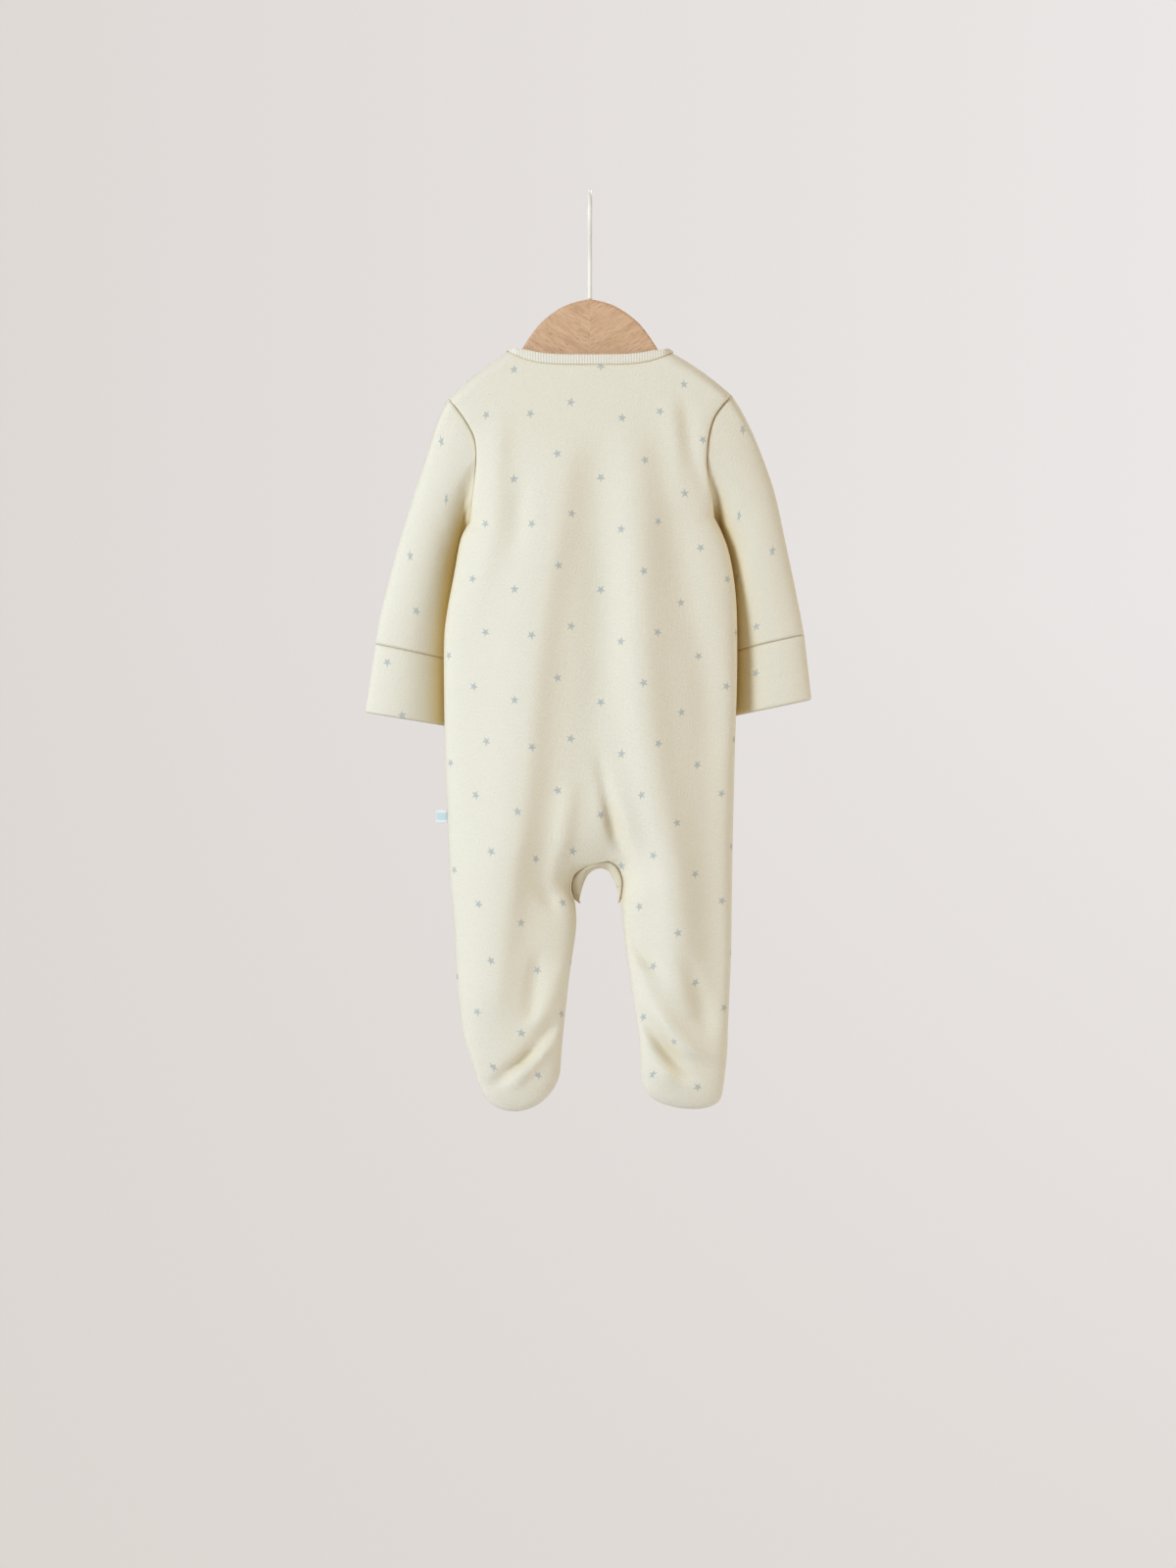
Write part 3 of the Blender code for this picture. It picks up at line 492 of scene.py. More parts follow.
def cottonRib():
    made, tree, shader = newMaterial("cotton rib", rib["sockets"])
    parts = addNode(tree, "SeparateXYZ", {0: addNode(tree, "UVMap", uv_map="cloth")})
    turn = addMath(tree, "MULTIPLY", parts.outputs["X"], 2 * pi / (rib["pitch"] * mm))
    height = mapRange(tree, addMath(tree, "SINE", turn), -1, 1)
    # painted shade: the colour darkens where the relief sinks between the wales
    colour = mixColours(tree, height, rib["grooveShade"], rib["cloth"])
    addFinish(tree, shader, colour, height, rib["bump"])
    return made


def plainMaterial(name, colour, roughness, speck, scale, bump=None):
    # a single colour broken up by a fine grain of its own darker shade
    made, tree, shader = newMaterial(name, {"Roughness": roughness})
    coords = addNode(tree, "TexCoord")
    grain = addNode(tree, "TexNoise", {"Vector": coords.outputs["Object"], "Scale": scale,
                                       "Detail": 4}).outputs["Fac"]
    darker = tuple(c * (1 - speck) for c in toLinear(colour)[:3]) + (1,)
    addFinish(tree, shader, mixColours(tree, grain, colour, darker), grain, bump)
    return made


# steamed beech, sanded and lacquered: pinkish tan with short dark flecks along the grain
beech = {"light": "e3c09d", "dark": "cda583", "fleck": "96694a", "slope": 33,
         "figure": (60, 260, 420), "rays": (170, 700, 1500), "figures": (0.3, 0.7),
         "flecks": (0.56, 0.7, 0, 0.55), "bump": (0.25, 0.15),
         "sockets": {"Roughness": 0.48, "Coat Weight": 0.15}}


def beechWood(name, way):
    made, tree, shader = newMaterial(name, beech["sockets"])
    coords = addNode(tree, "TexCoord")
    turned = addNode(tree, "VectorRotate",
                     {"Vector": coords.outputs["Object"],
                      "Angle": radians(beech["slope"]) * way}, rotation_type="Y_AXIS")
    long = addNode(tree, "Mapping", {"Vector": turned, "Scale": beech["figure"]})
    figure = addNode(tree, "TexNoise", {"Vector": long, "Scale": 1, "Detail": 5,
                                        "Roughness": 0.62})
    short = addNode(tree, "Mapping", {"Vector": turned, "Scale": beech["rays"]})
    ray = addNode(tree, "TexNoise", {"Vector": short, "Scale": 1, "Detail": 2}).outputs["Fac"]
    spread = mapRange(tree, figure.outputs["Fac"], *beech["figures"])
    grain = mixColours(tree, spread, beech["light"], beech["dark"])
    flecked = mixColours(tree, mapRange(tree, ray, *beech["flecks"]), grain, beech["fleck"])
    addFinish(tree, shader, flecked, ray, beech["bump"])
    return made


jerseyBody = cottonJersey("cotton jersey", starPrint["body"])
jerseySleeve = {side: cottonJersey(f"cotton jersey, {side} sleeve", starPrint[side])
                for side in ("left", "right")}
ribCloth = cottonRib()
thread = plainMaterial("sewing thread", "eeeadb", 0.7, 0.1, 900)
popperCap = plainMaterial("enamelled popper cap", "f0efe8", 0.28, 0.04, 200)
ribbonTag = plainMaterial("woven ribbon", "f4f8f8", 0.75, 0.08, 900, (0.3, 0.2))
ribbonBlue = plainMaterial("woven ribbon, pale blue", "d2e8f0", 0.75, 0.08, 900,
                           (0.3, 0.2))
whiteWire = plainMaterial("satin white powder coat", "f4f4ef", 0.45, 0.03, 900)
woodHalves = {"left": beechWood("beech, left half", -1), "right": beechWood("beech, right half", 1)}
print("materials ready")


def linkObject(name, data):
    placed = bpy.data.objects.new(name, data)
    bpy.context.scene.collection.objects.link(placed)
    return placed


def meshFrom(name, bm):
    mesh = bpy.data.meshes.new(name)
    bm.to_mesh(mesh)
    bm.free()
    return mesh


def addPiece(name, data, materials, replaces=()):
    for m in materials if isinstance(materials, (list, tuple)) else [materials]:
        data.materials.append(m)
    piece = linkObject(name, data)
    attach(piece, "root")
    if replaces:
        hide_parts(*replaces)
    return piece


def meshPiece(name, bm, materials, replaces=()):
    mesh = meshFrom(name, bm)
    mesh.shade_smooth()
    return addPiece(name, mesh, materials, replaces)


def clothPiece(name, bm, material, node, wall):
    # the piece with its thickness, inwards from its face, and the area of its cut
    area = sum(f.calc_area() for f in bm.faces)
    piece = meshPiece(name, bm, material, [node])
    solid = piece.modifiers.new("cloth wall", "SOLIDIFY")
    solid.thickness = wall * mm
    solid.offset = -1
    return piece, area


def weld(bm, distance=0.01):
    bmesh.ops.remove_doubles(bm, verts=bm.verts[:], dist=distance * mm)


def layGrid(bm, rows, across, down, flip=False):
    # a grid moved onto the rows; across and down are each point's place in the flat cloth
    layer = bm.loops.layers.uv.get("cloth") or bm.loops.layers.uv.new("cloth")
    wide, high = len(rows[0]) - 1, len(rows) - 1
    made = bmesh.ops.create_grid(bm, x_segments=wide, y_segments=high, size=0.5)
    spots = {}
    for vert in made["verts"]:
        c, r = round((vert.co.x + 0.5) * wide), round((0.5 - vert.co.y) * high)
        spots[vert] = (across[r][c] * mm, down[r][c] * mm)
        vert.co = rows[r][c] * mm
    faces = list({f for v in spots for f in v.link_faces})
    for f in faces:
        for loop in f.loops:
            loop[layer].uv = spots[loop.vert]
    if flip:
        bmesh.ops.reverse_faces(bm, faces=faces)
    return faces


def rollEdges(bm, amount):
    # seam edges turn in a little
    bm.normal_update()
    rim = {v for e in bm.edges if e.is_boundary for v in e.verts}
    for v, normal in [(v, v.normal.copy()) for v in rim]:
        v.co -= normal * amount * mm


# the knit hangs longer down the middle, so the print drifts with it: where that starts, the
# repeat's own height, its height down the middle, and how much less it hangs at the sides
drift = {"from": 280.0, "repeat": 80.0, "hung": 82.0, "sides": 3.6, "half": 90.0,
         "legMiddle": 50.0}


def driftedDown(p):
    hung = drift["hung"] - drift["sides"] * min(1.0, (p.x / drift["half"]) ** 2)
    return drift["from"] + (-p.z - drift["from"]) * drift["repeat"] / hung


def panelSpots(rows, side, footFrom, legFrom):
    # across is measured out from the middle line, and from the middle of each leg below it
    way = -1 if side == "left" else 1
    across, down = [], []
    for n, row in enumerate(rows):
        run = lengthAlong(row)
        middle = min(range(len(row)), key=lambda k: abs(abs(row[k].x) - drift["legMiddle"]))
        if n <= legFrom:
            across.append([row[-1].x + way * (run[-1] - r) for r in run])
            off = across[-1][middle] - row[middle].x
        else:
            across.append([row[middle].x + off + way * (run[middle] - r) for r in run])
        if n <= footFrom:
            down.append([driftedDown(p) for p in row])
        else:
            down.append([d + (p - q).length for d, p, q in zip(down[-1], row, rows[n - 1])])
    return across, down


def makePanel(name, node, sides, names):
    # a whole panel or a stretch of one; the fronts part along the centre
    face = "back" if node == "back" else "front"
    shift = -shell["seamGap"] if face == "back" else shell["seamGap"]
    bm = bmesh.new()
    for side in sides:
        rows = panelRows(face, side, names, shell["columns"])
        for row in rows:
            for p in row:
                p.y += shift
            if face == "front" and row[-1].z > cut["centre"][-1][1] and "body" in names:
                row[-1].x += shift if side == "right" else -shift
        footRows = shell["stretches"][-1][7] if "foot" in names else 0
        legFrom = sum(s[7] for s in shell["stretches"][:2] if s[0] in names)
        across, down = panelSpots(rows, side, len(rows) - 1 - footRows, legFrom)
        layGrid(bm, rows, across, down, flip=(side == "right") == (face == "back"))
    weld(bm, shell["weld"])
    rollEdges(bm, shell["seamRoll"])
    return clothPiece(name, bm, jerseyBody, node, shell["wall"])


def makePanels():
    whole = [s[0] for s in shell["stretches"]]
    made = {"backCloth": makePanel("backCloth", "back", ("left", "right"), whole)}
    for kind, names in (("front", whole[:-1]), ("foot", whole[-1:])):
        for side in ("left", "right"):
            name = f"{kind}{side.capitalize()}Cloth"
            made[name] = makePanel(name, f"{kind}_{side}", (side,), names)
    return made


panels = makePanels()
print("back, fronts and feet ready")


# the gusset: shares of the arc where it starts and ends, and its clearance from the panels
saddle = {"from": 0.04, "to": 0.96, "rows": 48, "columns": 14, "backOff": 0.3, "inOff": 0.45,
          "wall": 1.4, "roll": 0.3, "printAt": (8.0, 400.0), "printStep": 1.3}


def makeGusset():
    arc = list(reversed(cut["crotch"]["left"])) + cut["crotch"]["right"][1:]
    rows = []
    for f in steps(saddle["rows"]):
        g = saddle["from"] + (saddle["to"] - saddle["from"]) * f
        edge, gap = along(arc, g), along(cut["gap"], g)
        depth = crotchDepth(abs(2 * g - 1)) - saddle["backOff"]
        inwards = (gap - edge).normalized() * saddle["inOff"]
        back = Vector((edge.x + inwards.x, -depth, edge.y + inwards.y))
        front = Vector((back.x, depth, back.z))
        control = 2 * Vector((gap.x, 0, gap.y)) - (back + front) / 2
        rows.append([back * (1 - t) ** 2 + control * 2 * t * (1 - t) + front * t ** 2
                     for t in steps(saddle["columns"])])
    bm = bmesh.new()
    across, down = [], []
    for k, row in enumerate(rows):
        run = lengthAlong(row)
        across.append([r - run[-1] / 2 + saddle["printAt"][0] for r in run])
        down.append([saddle["printAt"][1] + saddle["printStep"] * k] * len(row))
    layGrid(bm, rows, across, down, flip=True)
    rollEdges(bm, saddle["roll"])
    return clothPiece("gussetCloth", bm, jerseyBody, "gusset", saddle["wall"])


gusset = makeGusset()


# sleeves: outer and inner edge from the armhole to the hem: across, height, depth towards the front
sleeve = {
    "outer": {
        "left": [(-104.4, -149.8, 0), (-111.5, -164, 0.5), (-121.7, -196.6, 1), (-139.7, -252.7, 3),
                 (-153.4, -304.6, 5), (-158, -329.5, 6)],
        "right": [(104.4, -147.3, 0), (112.3, -160, 0.5), (123.1, -183, 1), (135.4, -217.4, 2),
                  (144, -255.6, 3), (152.6, -295.9, 5), (157.7, -323, 6)]},
    "inner": {
        "left": [(-88.6, -240.5, 0), (-93.5, -250, 9), (-96.5, -270, 16), (-98, -300, 20),
                 (-99, -342, 22)],
        "right": [(91.4, -237, 0), (96, -247, 9), (98.2, -270, 16), (99, -300, 20),
                  (99.5, -336, 22)]},
    "cuffOuter": {"left": [(-158, -329.65, 6), (-165.6, -380.2, 7)],
                  "right": [(157.8, -323.15, 6), (163.3, -370.8, 7)]},
    "cuffInner": {"left": [(-99, -342.15, 22), (-99.5, -391, 23)],
                  "right": [(99.5, -336.15, 22), (99.5, -384, 23)]},
    "round": [(0, 12), (0.3, 13), (0.7, 12), (1, 10.5)], "cuffRound": 10.5, "skew": 2.6,
    "half": 36, "rows": 70, "cuffRows": 26, "seamOff": 0.06, "seamRun": 0.4, "seamStep": 0.02,
    # each piece's wall, and how far its upper and lower edge turn in
    "sleeve": {"wall": 1.5, "roll": (0.05, 0.2)}, "cuff": {"wall": 2.1, "roll": (0.08, 0.7)},
}


def sleeveSection(outer, inner, roundDepth, face, f):
    share = (1 - cos(pi * f)) / 2
    p = outer + (inner - outer) * share
    depth = roundDepth * max(0.0, sin(pi * f))
    y = outer.z + (inner.z - outer.z) * share ** sleeve["skew"]
    return Vector((p.x, y + (-depth if face == "back" else depth), p.y))


def sleeveRing(pointAt):
    # all round, from the outer edge over the back to the inner edge and home over the front
    half = sleeve["half"]
    return ([pointAt("back", f) for f in steps(half)]
            + [pointAt("front", f) for f in steps(half)[-2::-1]])


def armRing(side, s):
    outer, inner = along(sleeve["outer"][side], s), along(sleeve["inner"][side], s)
    firstOuter, firstInner = Vector(sleeve["outer"][side][0]), Vector(sleeve["inner"][side][0])
    line, way = cut["armhole"][side], 1 if side == "left" else -1

    def pointAt(face, f):
        here = sleeveSection(outer, inner, readTable(sleeve["round"], s), face, f)
        first = sleeveSection(firstOuter, firstInner, readTable(sleeve["round"], 0), face, f)
        seam = armholePoint(side, f)
        if face == "back":
            seam.y = -seam.y
        step = sleeve["seamStep"]
        run = along(line, min(1, f + step)) - along(line, max(0, f - step))
        seam += Vector((run.y, 0, -run.x)).normalized() * way * sleeve["seamOff"]
        return here + (seam - first) * (1 - ease(s / sleeve["seamRun"]))

    return sleeveRing(pointAt)


def cuffRing(side, s):
    outer, inner = along(sleeve["cuffOuter"][side], s), along(sleeve["cuffInner"][side], s)
    return sleeveRing(lambda face, f: sleeveSection(outer, inner, sleeve["cuffRound"], face, f))


def makeTube(kind, side, rings, startDown):
    quarter = sleeve["half"] // 2
    down = [[startDown] * len(rings[0])]
    for a, b in zip(rings, rings[1:]):
        down.append([down[-1][0] + (b[quarter] - a[quarter]).length] * len(b))
    bm = bmesh.new()
    layGrid(bm, rings, [lengthAlong(ring) for ring in rings], down, flip=side == "right")
    weld(bm)
    bm.normal_update()
    middleHeight = sum(p.z for ring in rings for p in ring) / (len(rings) * len(rings[0])) * mm
    rollTop, rollHem = sleeve[kind]["roll"]
    for v in {v for e in bm.edges if e.is_boundary for v in e.verts}:
        v.co -= v.normal * (rollTop if v.co.z > middleHeight else rollHem) * mm
    name = f"{kind}{side.capitalize()}Cloth"
    made = clothPiece(name, bm, jerseySleeve[side], f"{kind}_{side}", sleeve[kind]["wall"])
    return *made, down[-1][0]


def makeArms():
    made = []
    for side in ("left", "right"):
        rings = [armRing(side, f) for f in steps(sleeve["rows"])]
        made.append(makeTube("sleeve", side, rings, 0))
        rings = [cuffRing(side, f) for f in steps(sleeve["cuffRows"])]
        made.append(makeTube("cuff", side, rings, made[-1][2]))
    return made


arms = makeArms()
print("sleeves and cuffs ready")


binding = {"height": 7.4, "thick": 1.9, "lap": 0.5, "turn": 53.8, "steep": 1.4, "sunk": 0.25,
           "endDrop": 3.0, "dropFrom": 44.0, "dropRun": 15.0, "quarter": 60, "around": 16,
           "square": 0.7, "columns": 200,
           "stitch": {"pitch": 2.4, "up": 1.5, "out": 0.05, "size": (1.5, 0.5, 0.5)}}
neckRows = {(face, side): clothRow(face, side, shell["stretches"][0], 0, binding["columns"])
            for face in ("back", "front") for side in ("left", "right")}


def neckEdge(face, side, t):
    # t runs from the neck point, 0, to the middle, 1
    q = hang["neckColumn"] + (1 - hang["neckColumn"]) * (1 - cos(pi * t / 2))
    q *= binding["columns"]
    k = min(binding["columns"] - 1, int(q))
    row = neckRows[(face, side)]
    return row[k] + (row[k + 1] - row[k]) * (q - k)


def neckLoop(k):
    quarter, step = divmod(k % (4 * binding["quarter"]), binding["quarter"])
    t = step / binding["quarter"]
    face = "back" if quarter < 2 else "front"
    side = "left" if quarter in (0, 3) else "right"
    here = neckEdge(face, side, 1 - t if quarter in (1, 3) else t)
    over = min(0.95 * binding["height"], max(0.0, abs(here.x) - binding["turn"]))
    rise = sqrt(binding["height"] ** 2 - over ** 2)
    up = Vector((over if side == "left" else -over, 0, rise)).normalized()
    dropped = ease((abs(here.x) - binding["dropFrom"]) / binding["dropRun"])
    return here, up, binding["height"] - binding["endDrop"] * dropped


def bindingRing(k):
    # the turned band's section: a flat loop, rounder at its fold
    here, up, height = neckLoop(k)
    tangent = (neckLoop(k + 1)[0] - neckLoop(k - 1)[0]).normalized()
    out = up.cross(tangent).normalized()
    square = (up - tangent * up.dot(tangent)).normalized()
    inwards = Vector((-copysign(1, here.x), 0, 0))
    low = here - square * binding["lap"] + inwards * binding["steep"] * abs(tangent.z)
    middle = low + up * height / 2 - out * (binding["thick"] / 2 - binding["sunk"])
    ring = []
    for j in range(binding["around"] + 1):
        a = 2 * pi * j / binding["around"]
        c, s = cos(a), sin(a)
        tall = copysign(abs(c) ** binding["square"], c) * height / 2
        thick = copysign(abs(s) ** binding["square"], s) * binding["thick"] / 2
        ring.append(middle + up * tall + out * thick)
    return ring


def makeBinding():
    rings = [bindingRing(k) for k in range(4 * binding["quarter"] + 1)]
    run = lengthAlong([(ring[0] + ring[binding["around"] // 2]) / 2 for ring in rings])
    whole = round(run[-1] / rib["pitch"]) * rib["pitch"]
    across = [[r * whole / run[-1]] * len(rings[0]) for r in run]
    bm = bmesh.new()
    layGrid(bm, rings, across, [lengthAlong(ring) for ring in rings])
    weld(bm)
    bmesh.ops.recalc_face_normals(bm, faces=bm.faces[:])
    return meshPiece("neckBinding", bm, ribCloth, ["neck_binding"]), run[-1]


neckBinding, neckRun = makeBinding()


def makeStitches(name, places, size, material):
    # short rounded threads: place, way along, way out
    bm = bmesh.new()
    for place, way, out in places:
        made = bmesh.ops.create_uvsphere(bm, u_segments=6, v_segments=4, radius=1)
        side = way.cross(out).normalized()
        for v in made["verts"]:
            c = v.co.copy()
            v.co = (place + way.normalized() * c.z * size[0] / 2 + side * c.x * size[1] / 2
                    + out.normalized() * c.y * size[2] / 2) * mm
    return meshPiece(name, bm, material, ())


def bindingStitches():
    # a row of small stitches just above the binding's lower edge
    look = binding["stitch"]
    count = round(neckRun / look["pitch"])
    places = []
    for n in range(count):
        k, share = divmod(4 * binding["quarter"] * n / count, 1)
        here, up, _ = neckLoop(int(k))
        onward = neckLoop(int(k) + 1)[0] - here
        tangent = onward.normalized()
        out = up.cross(tangent).normalized()
        spot = here + onward * share
        spot.x -= copysign(binding["steep"] * abs(tangent.z), spot.x)
        places.append((spot + up * look["up"] + out * look["out"], tangent, out))
    makeStitches("neckStitches", places, look["size"], thread)


bindingStitches()
print("neck binding ready")


placket = {"half": 8.0, "thick": 1.4, "lift": 0.55, "start": 0.012, "end": 0.925, "rows": 150,
           "across": 17, "columns": 60, "roll": 0.35, "poppers": 6, "firstPopper": 0.05,
           "popperRun": 0.8, "stitch": {"pitch": 2.6, "out": 0.02, "size": (1.9, 0.45, 0.4)}}
frontRows = {}


def frontSurface(f, across):
    # a place on the closed fronts: share of the centre line, distance to one side
    key = (round(f, 6), across < 0)
    if key not in frontRows:
        yoke, body = shell["stretches"][:2]
        share = yoke[6]
        stretch, v = (yoke, f / share) if f < share else (body, (f - share) / (1 - share))
        side = "left" if across < 0 else "right"
        frontRows[key] = clothRow("front", side, stretch, v, placket["columns"])
    row = frontRows[key]
    middle = row[-1].x
    for k in range(len(row) - 1, 0, -1):
        a, b = row[k], row[k - 1]
        if abs(b.x - middle) >= abs(across):
            t = (abs(across) - abs(a.x - middle)) / max(1e-6, abs(b.x - middle) - abs(a.x - middle))
            return a + (b - a) * t
    return row[0]


def frontward(over, down):
    # the way out of the fronts' surface, from two steps along it
    out = over.cross(down).normalized()
    return out if out.y > 0 else -out


def placketPlaces():
    flat = []
    for share in steps(placket["rows"]):
        f = placket["start"] + (placket["end"] - placket["start"]) * share
        flat.append([frontSurface(f, placket["half"] * (2 * g - 1))
                     for g in steps(placket["across"] - 1)])
    outs = []
    for k, row in enumerate(flat):
        above, below = flat[max(0, k - 1)], flat[min(len(flat) - 1, k + 1)]
        outs.append([frontward(row[min(len(row) - 1, j + 1)] - row[max(0, j - 1)],
                               below[j] - above[j]) for j in range(len(row))])
    return flat, outs


def makePlacket():
    flat, outs = placketPlaces()
    look, lift = placket["stitch"], placket["lift"] + placket["thick"]
    rows = [[p + out * lift for p, out in zip(row, line)] for row, line in zip(flat, outs)]
    bm = bmesh.new()
    faces = layGrid(bm, rows, [[p.x for p in row] for row in rows],
                    [[-p.z for p in row] for row in rows])
    bm.normal_update()
    if sum(f.normal.y for f in bm.faces) < 0:
        bmesh.ops.reverse_faces(bm, faces=faces)
    rollEdges(bm, placket["roll"])
    made = clothPiece("placketCloth", bm, jerseyBody, "placket", placket["thick"])
    stitches = []
    for edge in (1, -2):
        line = [row[edge] + out[edge] * (lift + look["out"]) for row, out in zip(flat, outs)]
        run = lengthAlong(line)
        for n in range(int(run[-1] / look["pitch"])):
            want = (n + 0.5) * look["pitch"]
            k = max(i for i in range(len(run) - 1) if run[i] <= want)
            spot = line[k] + (line[k + 1] - line[k]) * (want - run[k]) / (run[k + 1] - run[k])
            stitches.append((spot, line[k + 1] - line[k], outs[k][edge]))
    makeStitches("placketStitches", stitches, look["size"], thread)
    return made


placketCloth, placketArea = makePlacket()


# press studs: a domed ring round a shallow dish: distance from the middle, height
popper = {"profile": [(0, 0.55), (1.6, 0.58), (2.2, 0.72), (2.7, 1.05), (3.3, 1.3), (3.9, 1.22),
                      (4.35, 0.85), (4.55, 0.4), (4.55, 0.0)],
          "half": 0.65, "lift": 0.6, "steps": 40}


def makePoppers():
    for n in range(placket["poppers"]):
        low, high = (Vector(c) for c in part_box(f"popper_{n + 1}"))
        middle = (low + high) / 2
        f = placket["firstPopper"] + placket["popperRun"] * n / (placket["poppers"] - 1)
        out = frontward(frontSurface(f, 3) - frontSurface(f, -3),
                        frontSurface(f + 0.01, 0) - frontSurface(f - 0.01, 0))
        lift = placket["lift"] + placket["thick"] + popper["lift"]
        middle.y = (frontSurface(f, 0) + out * lift).y * mm
        bm = bmesh.new()
        line = [bm.verts.new((r * mm, 0, (h - popper["half"]) * mm)) for r, h in popper["profile"]]
        edges = [bm.edges.new(pair) for pair in zip(line, line[1:])]
        bmesh.ops.spin(bm, geom=line + edges, axis=(0, 0, 1), cent=(0, 0, 0),
                       steps=popper["steps"], angle=2 * pi, use_merge=True)
        weld(bm, 0.001)
        bmesh.ops.holes_fill(bm, edges=[e for e in bm.edges if e.is_boundary], sides=0)
        bmesh.ops.recalc_face_normals(bm, faces=bm.faces[:])
        turn = out.to_track_quat("Z", "Y").to_matrix()
        for v in bm.verts:
            v.co = turn @ v.co + middle
        meshPiece(f"popperCap{n + 1}", bm, popperCap, [f"popper_{n + 1}"])


makePoppers()
print("placket and poppers ready")


tag = {"corner": 0.35, "band": 2.3, "cell": 4.0, "cuts": 9, "curl": 0.35}


def makeTag():
    # a folded ribbon end caught in the side seam
    low, high = (Vector(c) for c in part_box("side_tag"))
    middle, size = (low + high) / 2, high - low
    bm = bmesh.new()
    for v in bmesh.ops.create_cube(bm, size=1)["verts"]:
        v.co = middle + v.co * size
    bmesh.ops.bevel(bm, geom=bm.edges[:], offset=tag["corner"] * mm, segments=2, profile=0.5,
                    affect="EDGES", material=-1)
    longEdges = [e for e in bm.edges if e.calc_length() > tag["cell"] * mm]
    bmesh.ops.subdivide_edges(bm, edges=longEdges, cuts=tag["cuts"], use_grid_fill=True)
    for v in bm.verts:
        # a slight curl and the fold's soft outer end
        reach = 0.5 - (v.co.x - middle.x) / size.x
        v.co.y += tag["curl"] * sin(pi * (v.co.z - low.z) / size.z) * reach * mm
    for f in bm.faces:
        if abs(f.calc_center_median().z - middle.z) < tag["band"] * mm:
            f.material_index = 1
    meshPiece("sideTag", bm, [ribbonTag, ribbonBlue], ["side_tag"])


makeTag()


hanger = {
    "top": [(0, -76.3), (13, -79.4), (25, -85.4), (36, -94.3), (44.5, -105), (51, -115.2),
            (56, -121.5), (63, -126), (72, -130.6), (81, -135.8), (88, -141.6), (93, -147.5)],
    "below": [(0, -128), (12, -129), (35, -135), (60, -145), (80, -155), (88, -158.8),
              (93.4, -157)],
    "halfDepth": 5.45, "edge": 3.4, "gap": 0.02, "stations": 90, "corner": 10,
    # the tip closes in a few shrinking sections
    "tipRows": 6, "tipShare": 6.5, "tipReach": (1.6, -1.6), "sharpFrom": 50,
}
# the hook: an arc from its tip to where it leaves for the stem, then across and down to the bore
wire = {"radius": 1.65, "bend": 18.7, "tip": 218.0, "leave": -48.0, "arcSteps": 66,
        "neck": [(6.0, -38.5), (1.3, -45.5), (0, -54), (0, -66)], "neckSteps": 42,
        "stem": 12.0, "clear": 0.3, "round": 12}


def hangerSection(f):
    # rounded rectangle between the upper and the lower outline
    top, low = along(hanger["top"], f), along(hanger["below"], f)
    middle, half = (top + low) / 2, (top - low) / 2
    tall, way, depth = half.length, half.normalized(), hanger["halfDepth"]
    edge = min(hanger["edge"], tall * 0.95)
    points = []
    for corner, (sy, sz) in enumerate([(1, 1), (1, -1), (-1, -1), (-1, 1)]):
        for k in range(hanger["corner"]):
            a = pi / 2 * (1 - corner - k / (hanger["corner"] - 1))
            y = sy * (depth - edge) + edge * cos(a)
            z = sz * (tall - edge) + edge * sin(a)
            points.append(Vector((middle.x + way.x * z, y, middle.y + way.y * z)))
    return points


def makeHangerHalf(side, cutter):
    way = -1 if side == "left" else 1
    rows = []
    for f in steps(hanger["stations"]):
        section = hangerSection(f)
        for p in section:
            p.x = way * max(p.x, hanger["gap"])
        rows.append(section + [section[0]])
    last = rows[-1]
    centre = sum(last[:-1], Vector()) / (len(last) - 1)
    x, z = hanger["tipReach"]
    for k in range(1, hanger["tipRows"] + 1):
        a = pi / 2 * k / hanger["tipShare"]
        rows.append([centre + (p - centre) * cos(a) + Vector((way * x, 0, z)) * sin(a)
                     for p in last])
    bm = bmesh.new()
    flat = [[0] * len(row) for row in rows]
    layGrid(bm, rows, flat, flat, flip=side == "left")
    weld(bm)
    bmesh.ops.holes_fill(bm, edges=[e for e in bm.edges if e.is_boundary], sides=0)
    bmesh.ops.recalc_face_normals(bm, faces=bm.faces[:])
    piece = meshPiece("hangerArm" + side.capitalize(), bm, woodHalves[side],
                      [f"hanger_{side}"])
    piece.data.set_sharp_from_angle(angle=radians(hanger["sharpFrom"]))
    bore = piece.modifiers.new("bore", "BOOLEAN")
    bore.operation = "DIFFERENCE"
    bore.object = cutter
    graph = bpy.context.evaluated_depsgraph_get()
    cutMesh = bpy.data.meshes.new_from_object(piece.evaluated_get(graph))
    piece.modifiers.clear()
    piece.data = cutMesh


def makeHanger():
    bm = bmesh.new()
    radius = (wire["radius"] + wire["clear"]) * mm
    bmesh.ops.create_cone(bm, cap_ends=True, segments=40, radius1=radius, radius2=radius,
                          depth=2 * wire["stem"] * mm)
    for v in bm.verts:
        v.co.z += hanger["top"][0][1] * mm
    cutter = linkObject("boreCutter", meshFrom("boreCutter", bm))
    for side in ("left", "right"):
        makeHangerHalf(side, cutter)
    bpy.data.objects.remove(cutter)


makeHanger()


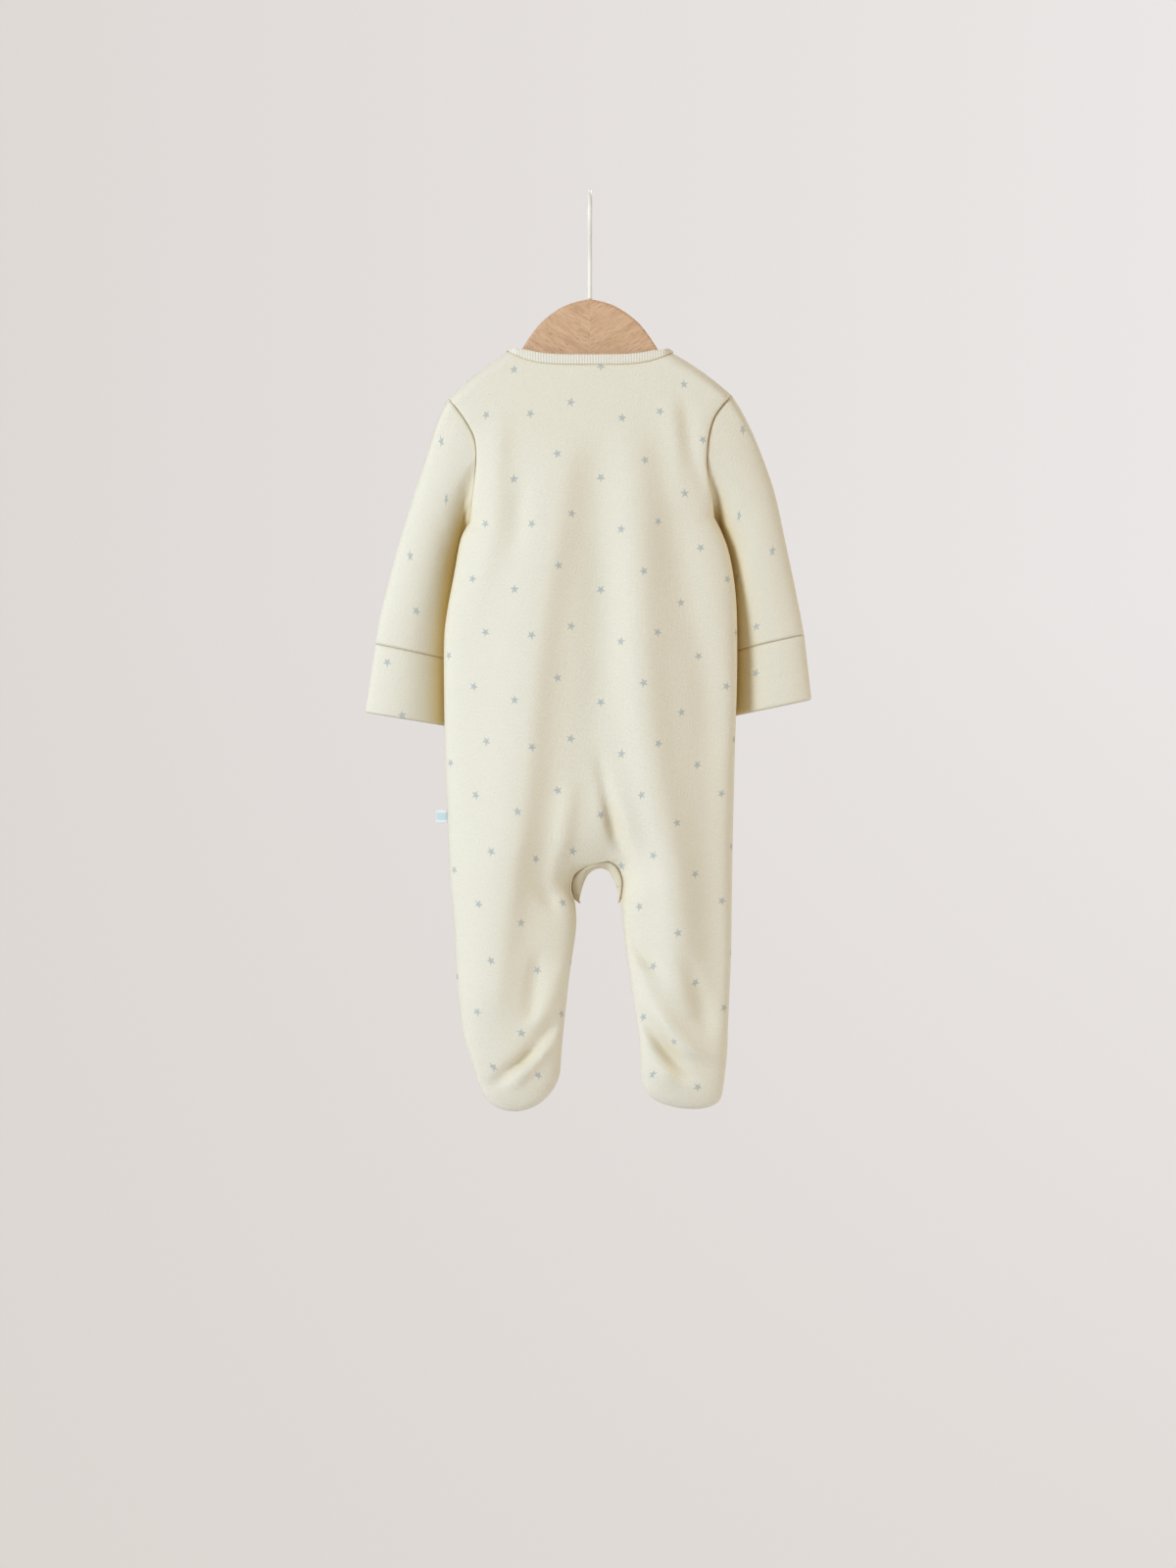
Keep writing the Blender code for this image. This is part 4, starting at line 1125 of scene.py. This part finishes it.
def makeHook():
    crown = wire["radius"] - wire["bend"]
    points = []
    for f in steps(wire["arcSteps"]):
        a = radians(wire["tip"] + (wire["leave"] - wire["tip"]) * f)
        points.append(Vector((0, wire["bend"] * cos(a), crown + wire["bend"] * sin(a))))
    bottom = hanger["top"][0][1] - wire["stem"] + wire["clear"]
    stem = [points[-1]] + [Vector((0, y, z)) for y, z in wire["neck"] + [(0, bottom)]]
    points += [along(stem, f) for f in steps(wire["neckSteps"])[1:]]
    curve = bpy.data.curves.new("hookWire", "CURVE")
    curve.dimensions = "3D"
    curve.bevel_depth = wire["radius"] * mm
    curve.bevel_resolution = wire["round"]
    curve.use_fill_caps = True
    line = curve.splines.new("POLY")
    line.points.add(len(points) - 1)
    for slot, p in zip(line.points, points):
        slot.co = (*(p * mm), 1)
    line.use_smooth = True
    addPiece("hookWire", curve, whiteWire, ["hook"])


makeHook()
print("tag, hanger and hook ready")


studio = {
    "camera": (-0.0014, -2.72, -0.4327), "lens": 85.0, "aim": (0, 0, -0.36),
    "key": {"at": (-1.95, -1.8, 0.45), "size": 0.9, "watts": 64, "colour": "e3f1ff"},
    "fill": {"at": (2.6, -0.75, 0.0), "size": 1.2, "watts": 25, "colour": "fbf8f2"},
    "behind": {"at": (0.5, 2.5, 1.5), "size": 2.2, "watts": 48, "colour": "f4f8ff"},
    "room": {"colour": "ffe8c6", "strength": 0.34},
    "floor": {"colour": "eef0f4", "radius": 1.45, "height": -1.4},
    # the wall seen behind, with painted light: lighter to the right and darker low down; its
    # colours, and where one passes into the next
    "wall": {"left": "ded9d5", "right": "ebe7e6", "low": "dbd5cf",
             "across": (-0.16, 0.16), "down": (0.05, -0.2, 0, 0.6)},
}


def makeLight(name, look):
    light = bpy.data.lights.new(name, "AREA")
    light.shape = "DISK"
    light.size = look["size"]
    light.energy = look["watts"]
    light.color = toLinear(look["colour"])[:3]
    lamp = linkObject(name, light)
    lamp.location = look["at"]
    aim = Vector(studio["aim"]) - lamp.location
    lamp.rotation_euler = aim.to_track_quat("-Z", "Y").to_euler()


def makeFloor():
    # a round sheet of matt paper
    look = studio["floor"]
    made = newMaterial("matt studio paper", {"Base Color": toLinear(look["colour"]),
                                             "Roughness": 0.95})[0]
    bm = bmesh.new()
    bmesh.ops.create_circle(bm, cap_ends=True, segments=96, radius=look["radius"])
    bmesh.ops.translate(bm, verts=bm.verts[:], vec=(0, 0, look["height"]))
    paper = linkObject("studioPaper", meshFrom("studioPaper", bm))
    paper.data.materials.append(made)


def makeRoom():
    # a warm room lights the cloth, and a pale wall all round is what is seen behind it, with
    # painted light: lighter to the right and darker low down
    world = bpy.data.worlds.new("studio")
    bpy.context.scene.world = world
    world.use_nodes = True
    sky, look = world.node_tree, studio["wall"]
    room = sky.nodes["Background"]
    room.inputs["Color"].default_value = toLinear(studio["room"]["colour"])
    room.inputs["Strength"].default_value = studio["room"]["strength"]
    coords = addNode(sky, "TexCoord")
    parts = addNode(sky, "SeparateXYZ", {0: coords.outputs["Generated"]})
    across = mapRange(sky, parts.outputs["X"], *look["across"])
    down = mapRange(sky, parts.outputs["Z"], *look["down"])
    # painted light: the seen wall is lighter to the right and darker low down
    wide = mixColours(sky, across, look["left"], look["right"])
    wall = mixColours(sky, down, wide, look["low"])
    seen = addNode(sky, "Background", {"Color": wall, "Strength": 1})
    path = addNode(sky, "LightPath")
    both = addNode(sky, "MixShader", {0: path.outputs["Is Camera Ray"], 1: room, 2: seen})
    sky.links.new(both.outputs[0], sky.nodes["World Output"].inputs["Surface"])


def makeCamera():
    lens = bpy.data.cameras.new("camera")
    lens.lens = studio["lens"]
    lens.sensor_width = 36
    camera = linkObject("camera", lens)
    camera.location = studio["camera"]
    camera.rotation_euler = (pi / 2, 0, 0)
    bpy.context.scene.camera = camera
    bpy.context.scene.view_settings.view_transform = "Standard"


makeFloor()
makeRoom()
for name in ("key", "fill", "behind"):
    makeLight(name, studio[name])
makeCamera()

print("studio ready")
